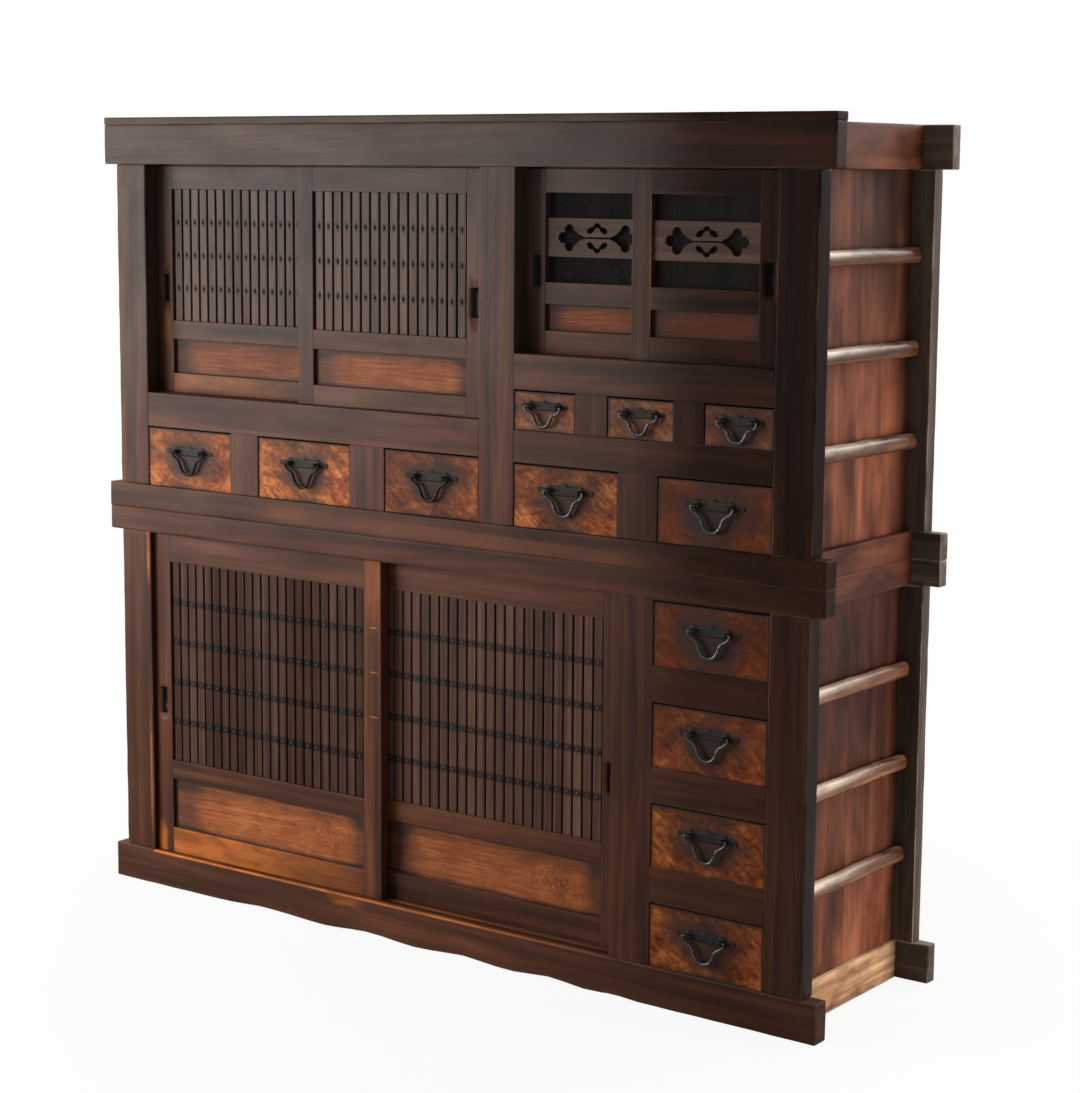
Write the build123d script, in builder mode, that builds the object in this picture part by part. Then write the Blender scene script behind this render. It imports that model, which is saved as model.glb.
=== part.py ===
from build123d import *
import os

os.makedirs("parts", exist_ok=True)

# Mizuya kitchen cabinet: two chests stacked one on the other. Each chest is a frame of corner posts
# between long beams that run past them, closed by boards at the sides, back, top and floor. Sliding
# doors run two to a cupboard, one behind the other, and drawers run on boards behind a face frame.
# Lengths are in millimetres. Frame: origin on the floor at the centre of the overall footprint, +X to
# the right, +Z up, doors and drawers facing -Y.
# A span is a pair (low end, high end) along one axis, and a box is three spans.

# ---- long beams and posts ------------------------------------------------------------------------
beam_length = 1880.0  # tip to tip
beam_overhang = 33.0  # how far a beam runs past the posts at each end
carcass_depth = 485.0  # front of the front beams to back of the rear beams
front_beam_thickness = 41.0
rear_beam_thickness = 30.0
lower_chest_height = 875.0
upper_chest_height = 859.0  # without the cap strip
sill_height = 80.0  # lower chest, bottom beams
lower_head_height = 53.0  # lower chest, top beams
upper_foot_height = 55.0  # upper chest, bottom beams
upper_head_height = 87.0  # upper chest, top beams
cap_height = 16.0  # strip laid on the upper front beam
beam_ease = 2.5  # worn corner of a beam or post

post_width = 88.0  # across the front
post_setback = 4.0  # front posts and face frame behind the face of the long beams
front_post_lap = 4.0  # inner face of the front posts past the inner face of the long beams
rear_post_setback = 5.0
rear_post_lap = 6.0
tenon_width = 40.0
tenon_thickness = 14.0
tenon_length = 28.0
mortise_fit = 0.25  # clearance on each side of a tenon

side_beam_thickness = 25.0
side_beam_inset = 31.0  # outer face behind the posts' outer faces
base_side_beam_inset = 41.0  # the same for the lowest pair
side_board_inset = 50.0
side_board_thickness = 12.0
side_board_count = 2
board_groove = 8.0  # how far boards enter the posts
groove_fit = 0.2
back_board_thickness = 10.0
back_board_setback = 3.0  # behind the front face of the rear posts
back_board_count = 6

# ---- wavy lower edge of the sill: it stands on feet, and low worn arches run between them --------
sill_feet = [-626.0, -303.0, -36.0, 212.0, 416.0, 528.0]  # distance from the middle
sill_arch_rises = [6.3, 7.3, 7.3, 7.3, 4.2]

# ---- side rungs ----------------------------------------------------------------------------------
rung_depth = 29.0
rung_height = 34.0
rung_round = 12.0
rung_end_round = 7.0
upper_rung_start = 238.0  # first rung's centre above the foot of its chest
upper_rung_pitch = 184.0
lower_rung_start = 268.0
lower_rung_pitch = 191.5
rungs_per_side = 3

# ---- boards inside -------------------------------------------------------------------------------
board_thickness = 12.0
top_board_thickness = 14.0
top_board_drop = 6.0  # top boards below the top of the beams
top_board_count = 3
floor_board_count = 3
batten_width = 40.0
batten_height = 24.0
batten_count = 4
ledger_size = 14.0
shelf_front = 120.0  # front edge of an inner shelf behind the front beams' face
upper_shelf_rise = 250.0  # shelf's top above the foot of its cupboard's opening
lower_shelf_rise = 370.0
cupboard_floor_drop = 2.0  # cupboard floor below the top of its grooved rail
guide_width = 14.0
guide_height = 20.0
kicker_width = 20.0
stop_width = 30.0
stop_depth = 15.0
stop_gap = 0.5

# ---- face frame, upper chest ---------------------------------------------------------------------
main_mullion_left = 125.0
main_mullion_width = 88.0
upper_left_drawer_opening = 134.5  # height
upper_left_rail = 75.5
# Widths of the drawer openings and stiles from the left post; the third opening takes the rest.
left_drawer_a = 254.0
left_stile_a = 81.0
left_drawer_b = 264.0
left_stile_b = 94.0
large_drawer_opening = 130.0
large_drawer_rail = 66.0
large_drawer_a = 256.0  # from the main mullion; the second opening takes the rest
large_stile = 92.0
small_drawer_opening = 81.0
upper_right_rail = 71.0
small_drawer_a = 151.0
small_stile_a = 77.0
small_drawer_b = 156.0
small_stile_b = 68.0

# ---- face frame, lower chest ---------------------------------------------------------------------
lower_mullion_left = 459.0
lower_mullion_width = 97.0
lower_drawer_rail = 71.7
lower_drawer_head_strip = 5.0  # above the topmost opening
lower_drawer_count = 4

# ---- sliding doors -------------------------------------------------------------------------------
door_setback = 17.0  # front door's face behind the long beams' face
door_thickness = 24.0
door_pair_gap = 4.0  # between the front and the rear door
door_side_gap = 0.5
door_foot_gap = 0.3
door_head_gap = 3.0
tongue_thickness = 7.6
tongue_foot = 4.7
tongue_head = 11.0  # above the door's body, head gap included
track_groove_width = 8.4
foot_groove_depth = 5.3
head_groove_depth = 16.0
track_depth = 32.0  # strip behind the long beams that holds the rear groove
track_height = 33.0
sill_track_height = 40.0
jamb_width = 14.0

slat_width = 20.0
slat_thickness = 9.0
slat_setback = 4.0
crossbar_height = 18.0
crossbar_thickness = 8.0
panel_thickness = 8.0
panel_setback = 8.0
carved_board_thickness = 8.0
carved_board_setback = 6.0
mesh_thickness = 1.0
mesh_setback = 16.0

upper_left_overlap = 56.0  # how much the closed doors of a pair cover each other
upper_left_door_stile = 42.0
upper_left_door_foot_rail = 43.0
upper_left_door_panel = 77.0
upper_left_door_middle_rail = 41.0
upper_left_door_head_rail = 51.0
upper_left_slats = 16
upper_left_crossbars = 3

upper_right_overlap = 60.0
upper_right_door_stile = 45.0
upper_right_door_foot_rail = 46.0
upper_right_door_panel = 53.0
upper_right_door_middle_rail = 43.0
lower_mesh_window = 51.0
carved_board_height = 76.0
upper_right_door_head_rail = 47.0

lower_left_overlap = 66.0
lower_left_door_stile = 48.0
lower_left_door_foot_rail = 58.0
lower_left_door_panel = 115.0
lower_left_door_middle_rail = 44.0
lower_left_door_head_rail = 62.0
lower_left_slats = 23
lower_left_crossbars = 4

finger_pull_width = 20.0
finger_pull_height = 61.0
finger_pull_depth = 8.0
upper_left_pull_rise = 234.0  # centre above the foot of the door's opening
upper_right_pull_rise = 165.0
lower_left_pull_rise = 354.0

# ---- openwork of the carved boards, from the board's centre --------------------------------------
rosette_spacing = 134.0
rosette_core = 15.0  # radius
rosette_lobe = 11.0  # three lobes: outward, up and down
rosette_lobe_ring = 15.5
slit_height = 3.4  # joins the two rosettes
neck_root = 9.0  # the slit widens into a rosette's open side between these distances from its centre
neck_root_height = 36.0
neck_waist = 23.0
neck_waist_height = 14.0
neck_end = 36.0
petal_length = 9.5  # half axes of the side petals
petal_width = 6.0
petal_tilt = 30.0
petal_spread = 15.5  # side petal's centre from the flower's middle
petal_rise = 15.0  # the same above the slit
tip_petal_radius = 9.0
tip_petal_rise = 20.5
tongue_half_width = 8.5  # wood that stands up between the side petals
tongue_rise = 20.0

# ---- drawers -------------------------------------------------------------------------------------
drawer_back_gap = 43.0  # room behind a closed drawer
drawer_setback = 6.0  # front board's face behind the long beams' face
drawer_front_thickness = 18.0
drawer_side_thickness = 9.0
drawer_bottom_thickness = 6.0
drawer_lap = 8.0  # how far the sides are let into the front board
drawer_side_gap = 1.0
drawer_foot_gap = 0.3
drawer_head_gap = 3.2
drawer_side_drop = 4.0  # sides lower than the front board

# ---- iron drawer pulls ---------------------------------------------------------------------------
plate_thickness = 1.6
stud_radius = 5.0
stud_reach = 12.0
stud_collar_radius = 8.0
stud_collar_thickness = 1.8
pivot_reach = 7.0  # bail's axis in front of the plate
bail_radius = 2.75
eye_clearance = 0.05
bail_inset = 7.0  # bail's tip inside its stud
bail_outset = 7.0  # first bend outside the stud
shoulder_outset = 3.0  # the same for the second bend
shoulder_drop = 11.0  # second bend below the eyes
bail_bend_radii = [4.0, 6.0, 8.0, 10.0, 9.0]  # from an eye to the middle

# A pull has two eyes, a plate outlined by a bar, a lobe at each eye, a crest between them and a tip at
# each end, and a bail whose grip is given by its bends below the eyes, as half widths and drops.
large_pull = {
    "eye_spacing": 76.0,
    "plate_length": 148.0,
    "bar_height": 19.5,
    "lobe_radius": 11.6,
    "crest_rise": 1.9,
    "tip_radius": 6.8,
    "neck_height": 7.5,
    "above_centre": 17.0,
    "grip_half_widths": [27.0, 21.0, 10.0],
    "grip_drops": [20.0, 38.0, 49.5],
}
small_pull = {
    "eye_spacing": 68.0,
    "plate_length": 118.0,
    "bar_height": 17.0,
    "lobe_radius": 10.3,
    "crest_rise": 1.7,
    "tip_radius": 6.0,
    "neck_height": 6.6,
    "above_centre": 11.0,
    "grip_half_widths": [24.0, 18.7, 8.8],
    "grip_drops": [16.0, 30.4, 40.0],
}

# ---- places that follow from the sizes -----------------------------------------------------------
handle_reach = stud_reach + plate_thickness - drawer_setback  # studs in front of the long beams
front_y = -(carcass_depth + handle_reach) / 2 + handle_reach
back_y = front_y + carcass_depth
beam_end = beam_length / 2
post_outer = beam_end - beam_overhang
post_inner = post_outer - post_width

front_beam_y = (front_y, front_y + front_beam_thickness)
rear_beam_y = (back_y - rear_beam_thickness, back_y)
front_post_y = (front_y + post_setback, front_beam_y[1] + front_post_lap)
rear_post_y = (rear_beam_y[0] - rear_post_lap, back_y - rear_post_setback)
inside_y = (front_post_y[1], rear_post_y[0])
beam_gap_y = (front_beam_y[1], rear_beam_y[0])
front_door_y = (front_y + door_setback, front_y + door_setback + door_thickness)
rear_door_y = (front_door_y[1] + door_pair_gap, front_door_y[1] + door_pair_gap + door_thickness)
track_y = (front_beam_y[1], front_beam_y[1] + track_depth)

side_board_outer = post_outer - side_board_inset
side_board_inner = side_board_outer - side_board_thickness
side_beam_outer = post_outer - side_beam_inset
side_beam_inner = side_beam_outer - side_beam_thickness
base_beam_outer = post_outer - base_side_beam_inset
base_beam_inner = base_beam_outer - side_beam_thickness

upper_foot = lower_chest_height
upper_top = lower_chest_height + upper_chest_height
lower_clear_z = (sill_height, lower_chest_height - lower_head_height)
upper_clear_z = (upper_foot + upper_foot_height, upper_top - upper_head_height)

main_mullion_x = (main_mullion_left, main_mullion_left + main_mullion_width)
lower_mullion_x = (lower_mullion_left, lower_mullion_left + lower_mullion_width)
upper_left_x = (-post_inner, main_mullion_x[0])
upper_right_x = (main_mullion_x[1], post_inner)
lower_left_x = (-post_inner, lower_mullion_x[0])
lower_right_x = (lower_mullion_x[1], post_inner)


# ---- spans and boxes -----------------------------------------------------------------------------
def middle(span):
    """Halfway point of a span."""
    return (span[0] + span[1]) / 2


def size(span):
    """Length of a span."""
    return span[1] - span[0]


def about(centre, width):
    """The span of this width around a centre."""
    return centre - width / 2, centre + width / 2


def on_side(side, near, far):
    """The span between two distances from the middle, on the left (-1) or right (+1)."""
    return tuple(sorted((side * near, side * far)))


def shares(span, count):
    """A span cut into equal spans."""
    step = size(span) / count
    return [(span[0] + n * step, span[0] + (n + 1) * step) for n in range(count)]


def grown(box, clearance):
    """A box with this clearance added on every face."""
    return tuple((low - clearance, high + clearance) for low, high in box)


# ---- building blocks -----------------------------------------------------------------------------
def block(x, y, z, ease=0.0, cuts=(), tenons=()):
    """A squared timber with eased corners, box-shaped cuts taken out and tenons or tongues added."""
    with BuildPart() as timber:
        with Locations((middle(x), middle(y), middle(z))):
            Box(size(x), size(y), size(z))
        if ease > 0:
            chamfer(timber.edges(), ease)
        for cut in cuts:
            with Locations(tuple(middle(span) for span in cut)):
                Box(*(size(span) for span in cut), mode=Mode.SUBTRACT)
        for tenon in tenons:
            with Locations(tuple(middle(span) for span in tenon)):
                Box(*(size(span) for span in tenon))
    return timber.part


def write_node(label, pieces):
    """Writes one node, whose pieces stay separate solids."""
    node = Compound(label=label, children=pieces)
    export_step(node, f"parts/{label}.step")


def tenon_box(x, y, root, direction):
    """The tenon of a post at (x, y), from its shoulder at height `root` up (+1) or down (-1)."""
    z = tuple(sorted((root, root + direction * tenon_length)))
    return about(middle(x), tenon_width), about(middle(y), tenon_thickness), z


def post(x, y, z, cuts=()):
    """An upright with a tenon at each end."""
    tenons = [tenon_box(x, y, z[0], -1), tenon_box(x, y, z[1], 1)]
    return block(x, y, z, beam_ease, cuts, tenons)


def mortises(x_spans, y, root, direction):
    """The holes in a beam for the tenons of the uprights that meet it at height `root`."""
    return [grown(tenon_box(x, y, root, direction), mortise_fit) for x in x_spans]


def groove(x, door_y, edge, direction, depth):
    """A door's groove cut into a beam or rail from its edge at height `edge`, up (+1) or down (-1)."""
    z = tuple(sorted((edge, edge + direction * depth)))
    return x, about(middle(door_y), track_groove_width), z


# ---- carcass of one chest ------------------------------------------------------------------------
def corner_posts(clear_z):
    """Four corner posts, grooved for the side boards, the rear pair also for the back boards."""
    pieces = []
    for side in (-1, 1):
        x = on_side(side, post_inner, post_outer)
        board_x = grown([on_side(side, side_board_inner, side_board_outer)], groove_fit)[0]
        front_groove = (board_x, (inside_y[0] - board_groove - groove_fit, inside_y[0]), clear_z)
        rear_groove = (board_x, (inside_y[1], inside_y[1] + board_groove + groove_fit), clear_z)
        back_x = on_side(side, post_inner, post_inner + board_groove + groove_fit)
        back_groove = (back_x, grown([back_board_y], groove_fit)[0], clear_z)
        pieces.append(post(x, front_post_y, clear_z, [front_groove]))
        pieces.append(post(x, rear_post_y, clear_z, [rear_groove, back_groove]))
    return pieces


def side_beams(z, outer):
    """The left and right beams of one level, between the front and rear long beams."""
    return [
        block(on_side(side, outer - side_beam_thickness, outer), beam_gap_y, z, beam_ease)
        for side in (-1, 1)
    ]


def side_boards(z):
    """Upright boards that close the two sides, their outer edges in the posts' grooves."""
    y = (inside_y[0] - board_groove, inside_y[1] + board_groove)
    return [
        block(on_side(side, side_board_inner, side_board_outer), share, z)
        for side in (-1, 1)
        for share in shares(y, side_board_count)
    ]


def back_boards(z):
    """Upright boards that close the back, the outermost in the rear posts' grooves."""
    x = (-post_inner - board_groove, post_inner + board_groove)
    return [block(share, back_board_y, z) for share in shares(x, back_board_count)]


def level_boards(x, y, top, thickness, count):
    """Boards that run from side to side and close a top or floor."""
    return [block(x, share, (top - thickness, top)) for share in shares(y, count)]


def rungs(start, pitch):
    """Rounded bars across both sides, from the front post to the rear post."""
    pieces = []
    for side in (-1, 1):
        x = on_side(side, side_board_outer, side_board_outer + rung_depth)
        outward = Axis.X if side > 0 else Axis((0, 0, 0), (-1, 0, 0))
        for n in range(rungs_per_side):
            z = about(start + n * pitch, rung_height)
            with BuildPart() as rung:
                with Locations((middle(x), middle(inside_y), middle(z))):
                    Box(size(x), size(inside_y), size(z))
                fillet(rung.edges().filter_by(Axis.Y).group_by(outward)[-1], rung_round)
                fillet(rung.faces().sort_by(Axis.Y)[-1].edges().group_by(outward)[-1], rung_end_round)
            pieces.append(rung.part)
    return pieces


def wavy_sill():
    """The lower chest's front beam: a plank whose lower edge is worn into waves."""
    with BuildPart() as sill:
        with BuildSketch(Plane.XZ.offset(-front_beam_y[1])):
            with BuildLine():
                for left, right, rise in zip(sill_feet[:-1], sill_feet[1:], sill_arch_rises):
                    Spline((left, 0), ((left + right) / 2, rise), (right, 0), tangents=[(1, 0), (1, 0)])
                Polyline(
                    (sill_feet[-1], 0),
                    (beam_end, 0),
                    (beam_end, sill_height),
                    (-beam_end, sill_height),
                    (-beam_end, 0),
                    (sill_feet[0], 0),
                )
            make_face()
        extrude(amount=size(front_beam_y))
        chamfer(sill.edges().filter_by(Axis.X).group_by(Axis.Z)[-1], beam_ease)
        cuts = mortises([*post_x, lower_mullion_x], front_post_y, sill_height, -1)
        cuts.append(groove(lower_left_x, front_door_y, sill_height, -1, foot_groove_depth))
        for cut in cuts:
            with Locations(tuple(middle(span) for span in cut)):
                Box(*(size(span) for span in cut), mode=Mode.SUBTRACT)
    return sill.part


back_board_y = (
    rear_post_y[0] + back_board_setback,
    rear_post_y[0] + back_board_setback + back_board_thickness,
)
beam_x = (-beam_end, beam_end)
post_x = [on_side(side, post_inner, post_outer) for side in (-1, 1)]
upper_head_z = (upper_clear_z[1], upper_top)
upper_foot_z = (upper_foot, upper_clear_z[0])
lower_head_z = (lower_clear_z[1], lower_chest_height)
sill_z = (0.0, sill_height)

# ---- upper chest: frame --------------------------------------------------------------------------
upper_front_uprights = [*post_x, main_mullion_x]
head_cuts = mortises(upper_front_uprights, front_post_y, upper_clear_z[1], 1)
head_cuts += [
    groove(x, front_door_y, upper_clear_z[1], 1, head_groove_depth)
    for x in (upper_left_x, upper_right_x)
]
upper_beams = [
    block(beam_x, front_beam_y, upper_head_z, beam_ease, head_cuts),
    block(
        beam_x, rear_beam_y, upper_head_z, beam_ease,
        mortises(post_x, rear_post_y, upper_clear_z[1], 1),
    ),
    block(
        beam_x, front_beam_y, upper_foot_z, beam_ease,
        mortises(upper_front_uprights, front_post_y, upper_clear_z[0], -1),
    ),
    block(
        beam_x, rear_beam_y, upper_foot_z, beam_ease,
        mortises(post_x, rear_post_y, upper_clear_z[0], -1),
    ),
    *side_beams(upper_head_z, side_beam_outer),
    *side_beams(upper_foot_z, side_beam_outer),
]
write_node("upper_frame_beams", upper_beams)
write_node("upper_corner_posts", corner_posts(upper_clear_z))
cap_z = (upper_top, upper_top + cap_height)
write_node("top_cap_strip", [block(beam_x, front_beam_y, cap_z, beam_ease)])
write_node("upper_side_boards", side_boards(upper_clear_z))

top_board_top = upper_top - top_board_drop
batten_z = (top_board_top - top_board_thickness - batten_height, top_board_top - top_board_thickness)
inner_beam_x = (-side_beam_inner, side_beam_inner)
top_boards = level_boards(inner_beam_x, beam_gap_y, top_board_top, top_board_thickness, top_board_count)
battens = [
    block(about(middle(share), batten_width), beam_gap_y, batten_z)
    for share in shares(inner_beam_x, batten_count)
]
write_node("upper_back_and_top_boards", back_boards(upper_clear_z) + top_boards + battens)

# ---- lower chest: frame --------------------------------------------------------------------------
lower_front_uprights = [*post_x, lower_mullion_x]
lower_head_cuts = mortises(lower_front_uprights, front_post_y, lower_clear_z[1], 1)
lower_head_cuts.append(groove(lower_left_x, front_door_y, lower_clear_z[1], 1, head_groove_depth))
lower_beams = [
    wavy_sill(),
    block(beam_x, rear_beam_y, sill_z, beam_ease, mortises(post_x, rear_post_y, lower_clear_z[0], -1)),
    block(beam_x, front_beam_y, lower_head_z, beam_ease, lower_head_cuts),
    block(
        beam_x, rear_beam_y, lower_head_z, beam_ease,
        mortises(post_x, rear_post_y, lower_clear_z[1], 1),
    ),
    *side_beams(sill_z, base_beam_outer),
    *side_beams(lower_head_z, side_beam_outer),
]
write_node("lower_frame_beams", lower_beams)
write_node("lower_corner_posts", corner_posts(lower_clear_z))
write_node("lower_side_boards", side_boards(lower_clear_z))
write_node("lower_back_boards", back_boards(lower_clear_z))
upper_rungs = rungs(upper_foot + upper_rung_start, upper_rung_pitch)
lower_rungs = rungs(lower_rung_start, lower_rung_pitch)
write_node("side_rungs", upper_rungs + lower_rungs)

# ---- face frame, openings for doors and drawers --------------------------------------------------
floor_z = upper_clear_z[0]
upper_left_drawer_z = (floor_z, floor_z + upper_left_drawer_opening)
upper_left_rail_z = (upper_left_drawer_z[1], upper_left_drawer_z[1] + upper_left_rail)
upper_left_door_z = (upper_left_rail_z[1], upper_clear_z[1])
large_drawer_z = (floor_z, floor_z + large_drawer_opening)
large_rail_z = (large_drawer_z[1], large_drawer_z[1] + large_drawer_rail)
small_drawer_z = (large_rail_z[1], large_rail_z[1] + small_drawer_opening)
upper_right_rail_z = (small_drawer_z[1], small_drawer_z[1] + upper_right_rail)
upper_right_door_z = (upper_right_rail_z[1], upper_clear_z[1])


def along(span, *widths):
    """Cuts a span into pieces of the given widths from its low end; the last piece takes the rest."""
    edges = [span[0]]
    for width in widths:
        edges.append(edges[-1] + width)
    edges.append(span[1])
    return list(zip(edges[:-1], edges[1:]))


left_row = along(upper_left_x, left_drawer_a, left_stile_a, left_drawer_b, left_stile_b)
large_row = along(upper_right_x, large_drawer_a, large_stile)
small_row = along(upper_right_x, small_drawer_a, small_stile_a, small_drawer_b, small_stile_b)

rail_y = (front_post_y[0], track_y[1])
left_rail_grooves = [
    groove(upper_left_x, door_y, upper_left_rail_z[1], -1, foot_groove_depth)
    for door_y in (front_door_y, rear_door_y)
]
right_rail_grooves = [
    groove(upper_right_x, door_y, upper_right_rail_z[1], -1, foot_groove_depth)
    for door_y in (front_door_y, rear_door_y)
]
upper_face = [
    post(main_mullion_x, front_post_y, upper_clear_z),
    block(upper_left_x, rail_y, upper_left_rail_z, cuts=left_rail_grooves),
    block(upper_right_x, rail_y, upper_right_rail_z, cuts=right_rail_grooves),
    block(upper_right_x, front_post_y, large_rail_z),
    *(block(x, front_post_y, upper_left_drawer_z) for x in left_row[1::2]),
    *(block(x, front_post_y, large_drawer_z) for x in large_row[1::2]),
    *(block(x, front_post_y, small_drawer_z) for x in small_row[1::2]),
]
write_node("upper_face_frame", upper_face)

lower_column_z = (lower_clear_z[0], lower_clear_z[1] - lower_drawer_head_strip)
lower_drawer_pitch = (size(lower_column_z) + lower_drawer_rail) / lower_drawer_count
lower_drawer_opening = lower_drawer_pitch - lower_drawer_rail
lower_drawer_zs = [
    (sill_height + n * lower_drawer_pitch, sill_height + n * lower_drawer_pitch + lower_drawer_opening)
    for n in range(lower_drawer_count)
]
lower_rail_zs = [
    (low[1], high[0])
    for low, high in zip(lower_drawer_zs, [*lower_drawer_zs[1:], (lower_clear_z[1], 0)])
]
lower_face = [post(lower_mullion_x, front_post_y, lower_clear_z)]
lower_face += [block(lower_right_x, front_post_y, z) for z in lower_rail_zs]
write_node("lower_face_frame", lower_face)

# ---- door tracks and jambs -----------------------------------------------------------------------
def jambs(x, z):
    """The two strips that the rear door of a cupboard meets, behind the uprights beside the opening."""
    y = (inside_y[0], track_y[1])
    return [block(span, y, z) for span in ((x[0] - jamb_width, x[0]), (x[1], x[1] + jamb_width))]


upper_track = block(
    inner_beam_x, track_y, (upper_clear_z[1], upper_clear_z[1] + track_height),
    cuts=[
        groove(x, rear_door_y, upper_clear_z[1], 1, head_groove_depth)
        for x in (upper_left_x, upper_right_x)
    ],
)
upper_jambs = jambs(upper_left_x, upper_left_door_z) + jambs(upper_right_x, upper_right_door_z)
write_node("upper_door_tracks", [upper_track, *upper_jambs])

lower_head_track = block(
    (inner_beam_x[0], lower_mullion_x[1]), track_y, (lower_clear_z[1], lower_clear_z[1] + track_height),
    cuts=[groove(lower_left_x, rear_door_y, lower_clear_z[1], 1, head_groove_depth)],
)
base_beam_x = (-base_beam_inner, base_beam_inner)
lower_sill_track = block(
    base_beam_x, track_y, (sill_height - sill_track_height, sill_height),
    cuts=[groove(lower_left_x, rear_door_y, sill_height, -1, foot_groove_depth)],
)
lower_jambs = jambs(lower_left_x, lower_clear_z)
write_node("lower_door_tracks", [lower_head_track, lower_sill_track, *lower_jambs])

# ---- inner boards --------------------------------------------------------------------------------
upper_partition_x = about(middle(main_mullion_x), board_thickness)
lower_partition_x = about(middle(lower_mullion_x), board_thickness)
upper_left_room_x = (-side_board_inner, upper_partition_x[0])
upper_right_room_x = (upper_partition_x[1], side_board_inner)
lower_left_room_x = (-side_board_inner, lower_partition_x[0])
lower_right_room_x = (lower_partition_x[1], side_board_inner)


def shelf(room_x, front, top):
    """A level board across a room with a ledger under each end."""
    y = (front, inside_y[1])
    board = block(room_x, y, (top - board_thickness, top))
    ledger_z = (top - board_thickness - ledger_size, top - board_thickness)
    left = (room_x[0], room_x[0] + ledger_size)
    right = (room_x[1] - ledger_size, room_x[1])
    return [board, block(left, y, ledger_z), block(right, y, ledger_z)]


def drawer_guides(x, z, ceiling):
    """A guide at each side of a drawer, a stop behind it and a kicker above that keeps it level."""
    guide_z = (z[0], z[0] + guide_height)
    stop_y = drawer_y[1] + stop_gap
    return [
        block((x[0] - guide_width, x[0]), inside_y, guide_z),
        block((x[1], x[1] + guide_width), inside_y, guide_z),
        block(about(middle(x), stop_width), (stop_y, stop_y + stop_depth), guide_z),
        block(about(middle(x), kicker_width), (track_y[1], inside_y[1]), (z[1], ceiling)),
    ]


drawer_y = (front_y + drawer_setback, inside_y[1] - drawer_back_gap)
upper_left_floor = upper_left_rail_z[1] - cupboard_floor_drop
upper_right_floor = upper_right_rail_z[1] - cupboard_floor_drop
cupboard_back_y = track_y[1]
upper_inner = level_boards(inner_beam_x, beam_gap_y, floor_z, board_thickness, floor_board_count)
upper_inner.append(block(upper_partition_x, inside_y, upper_clear_z))
upper_inner += shelf(upper_left_room_x, cupboard_back_y, upper_left_floor)
upper_inner += shelf(upper_left_room_x, front_y + shelf_front, upper_left_rail_z[1] + upper_shelf_rise)
upper_inner += shelf(upper_right_room_x, cupboard_back_y, upper_right_floor)
upper_inner += shelf(upper_right_room_x, inside_y[0], large_rail_z[1])
for x in left_row[::2]:
    upper_inner += drawer_guides(x, upper_left_drawer_z, upper_left_floor - board_thickness)
for x in large_row[::2]:
    upper_inner += drawer_guides(x, large_drawer_z, large_rail_z[1] - board_thickness)
for x in small_row[::2]:
    upper_inner += drawer_guides(x, small_drawer_z, upper_right_floor - board_thickness)
write_node("upper_inner_boards", upper_inner)

lower_floor_y = (track_y[1], beam_gap_y[1])
lower_inner = level_boards(base_beam_x, lower_floor_y, sill_height, board_thickness, floor_board_count)
lower_inner += level_boards(
    inner_beam_x, beam_gap_y, lower_chest_height, board_thickness, floor_board_count
)
lower_inner.append(block(lower_partition_x, inside_y, lower_clear_z))
lower_inner += shelf(lower_left_room_x, front_y + shelf_front, sill_height + lower_shelf_rise)
lower_ceilings = [z[0] - board_thickness for z in lower_drawer_zs[1:]]
lower_ceilings.append(lower_chest_height - board_thickness)
for z in lower_drawer_zs[1:]:
    lower_inner += shelf(lower_right_room_x, inside_y[0], z[0])
for z, ceiling in zip(lower_drawer_zs, lower_ceilings):
    lower_inner += drawer_guides(lower_right_x, z, ceiling)
write_node("lower_inner_boards", lower_inner)


# ---- sliding doors -------------------------------------------------------------------------------
def door_spans(opening_x, overlap, hand):
    """Where a closed door stands across its opening: the left (-1) or right (+1) door of the pair."""
    width = (size(opening_x) + overlap) / 2 - door_side_gap
    if hand < 0:
        start = opening_x[0] + door_side_gap
        return start, start + width
    return opening_x[1] - door_side_gap - width, opening_x[1] - door_side_gap


def frame_member(x, y, z, foot=False, head=False, cuts=()):
    """A stile or rail of a door, with the tongue that runs in the groove below it or above it."""
    tongue_y = about(middle(y), tongue_thickness)
    tongues = []
    if foot:
        tongues.append((x, tongue_y, (z[0] - tongue_foot, z[0])))
    if head:
        tongues.append((x, tongue_y, (z[1], z[1] + tongue_head)))
    return block(x, y, z, cuts=cuts, tenons=tongues)


def door_frame(x, y, z, stile, foot_rail, panel, middle_rail, head_rail, pull_rise, hand):
    """Two stiles, three rails and the lower panel. Also gives the clear spans above the middle rail."""
    inner_x = (x[0] + stile, x[1] - stile)
    foot_z = (z[0], z[0] + foot_rail)
    panel_z = (foot_z[1], foot_z[1] + panel)
    middle_z = (panel_z[1], panel_z[1] + middle_rail)
    window_z = (middle_z[1], z[1] - head_rail)
    outer_stile_x = (x[0], inner_x[0]) if hand < 0 else (inner_x[1], x[1])
    pull = (
        about(middle(outer_stile_x), finger_pull_width),
        (y[0] - finger_pull_depth, y[0] + finger_pull_depth),
        about(z[0] + pull_rise, finger_pull_height),
    )
    left_cuts, right_cuts = ([pull], []) if hand < 0 else ([], [pull])
    pieces = [
        frame_member((x[0], inner_x[0]), y, z, foot=True, head=True, cuts=left_cuts),
        frame_member((inner_x[1], x[1]), y, z, foot=True, head=True, cuts=right_cuts),
        frame_member(inner_x, y, foot_z, foot=True),
        frame_member(inner_x, y, middle_z),
        frame_member(inner_x, y, (window_z[1], z[1]), head=True),
        block(inner_x, (y[0] + panel_setback, y[0] + panel_setback + panel_thickness), panel_z),
    ]
    return pieces, inner_x, window_z


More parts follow.
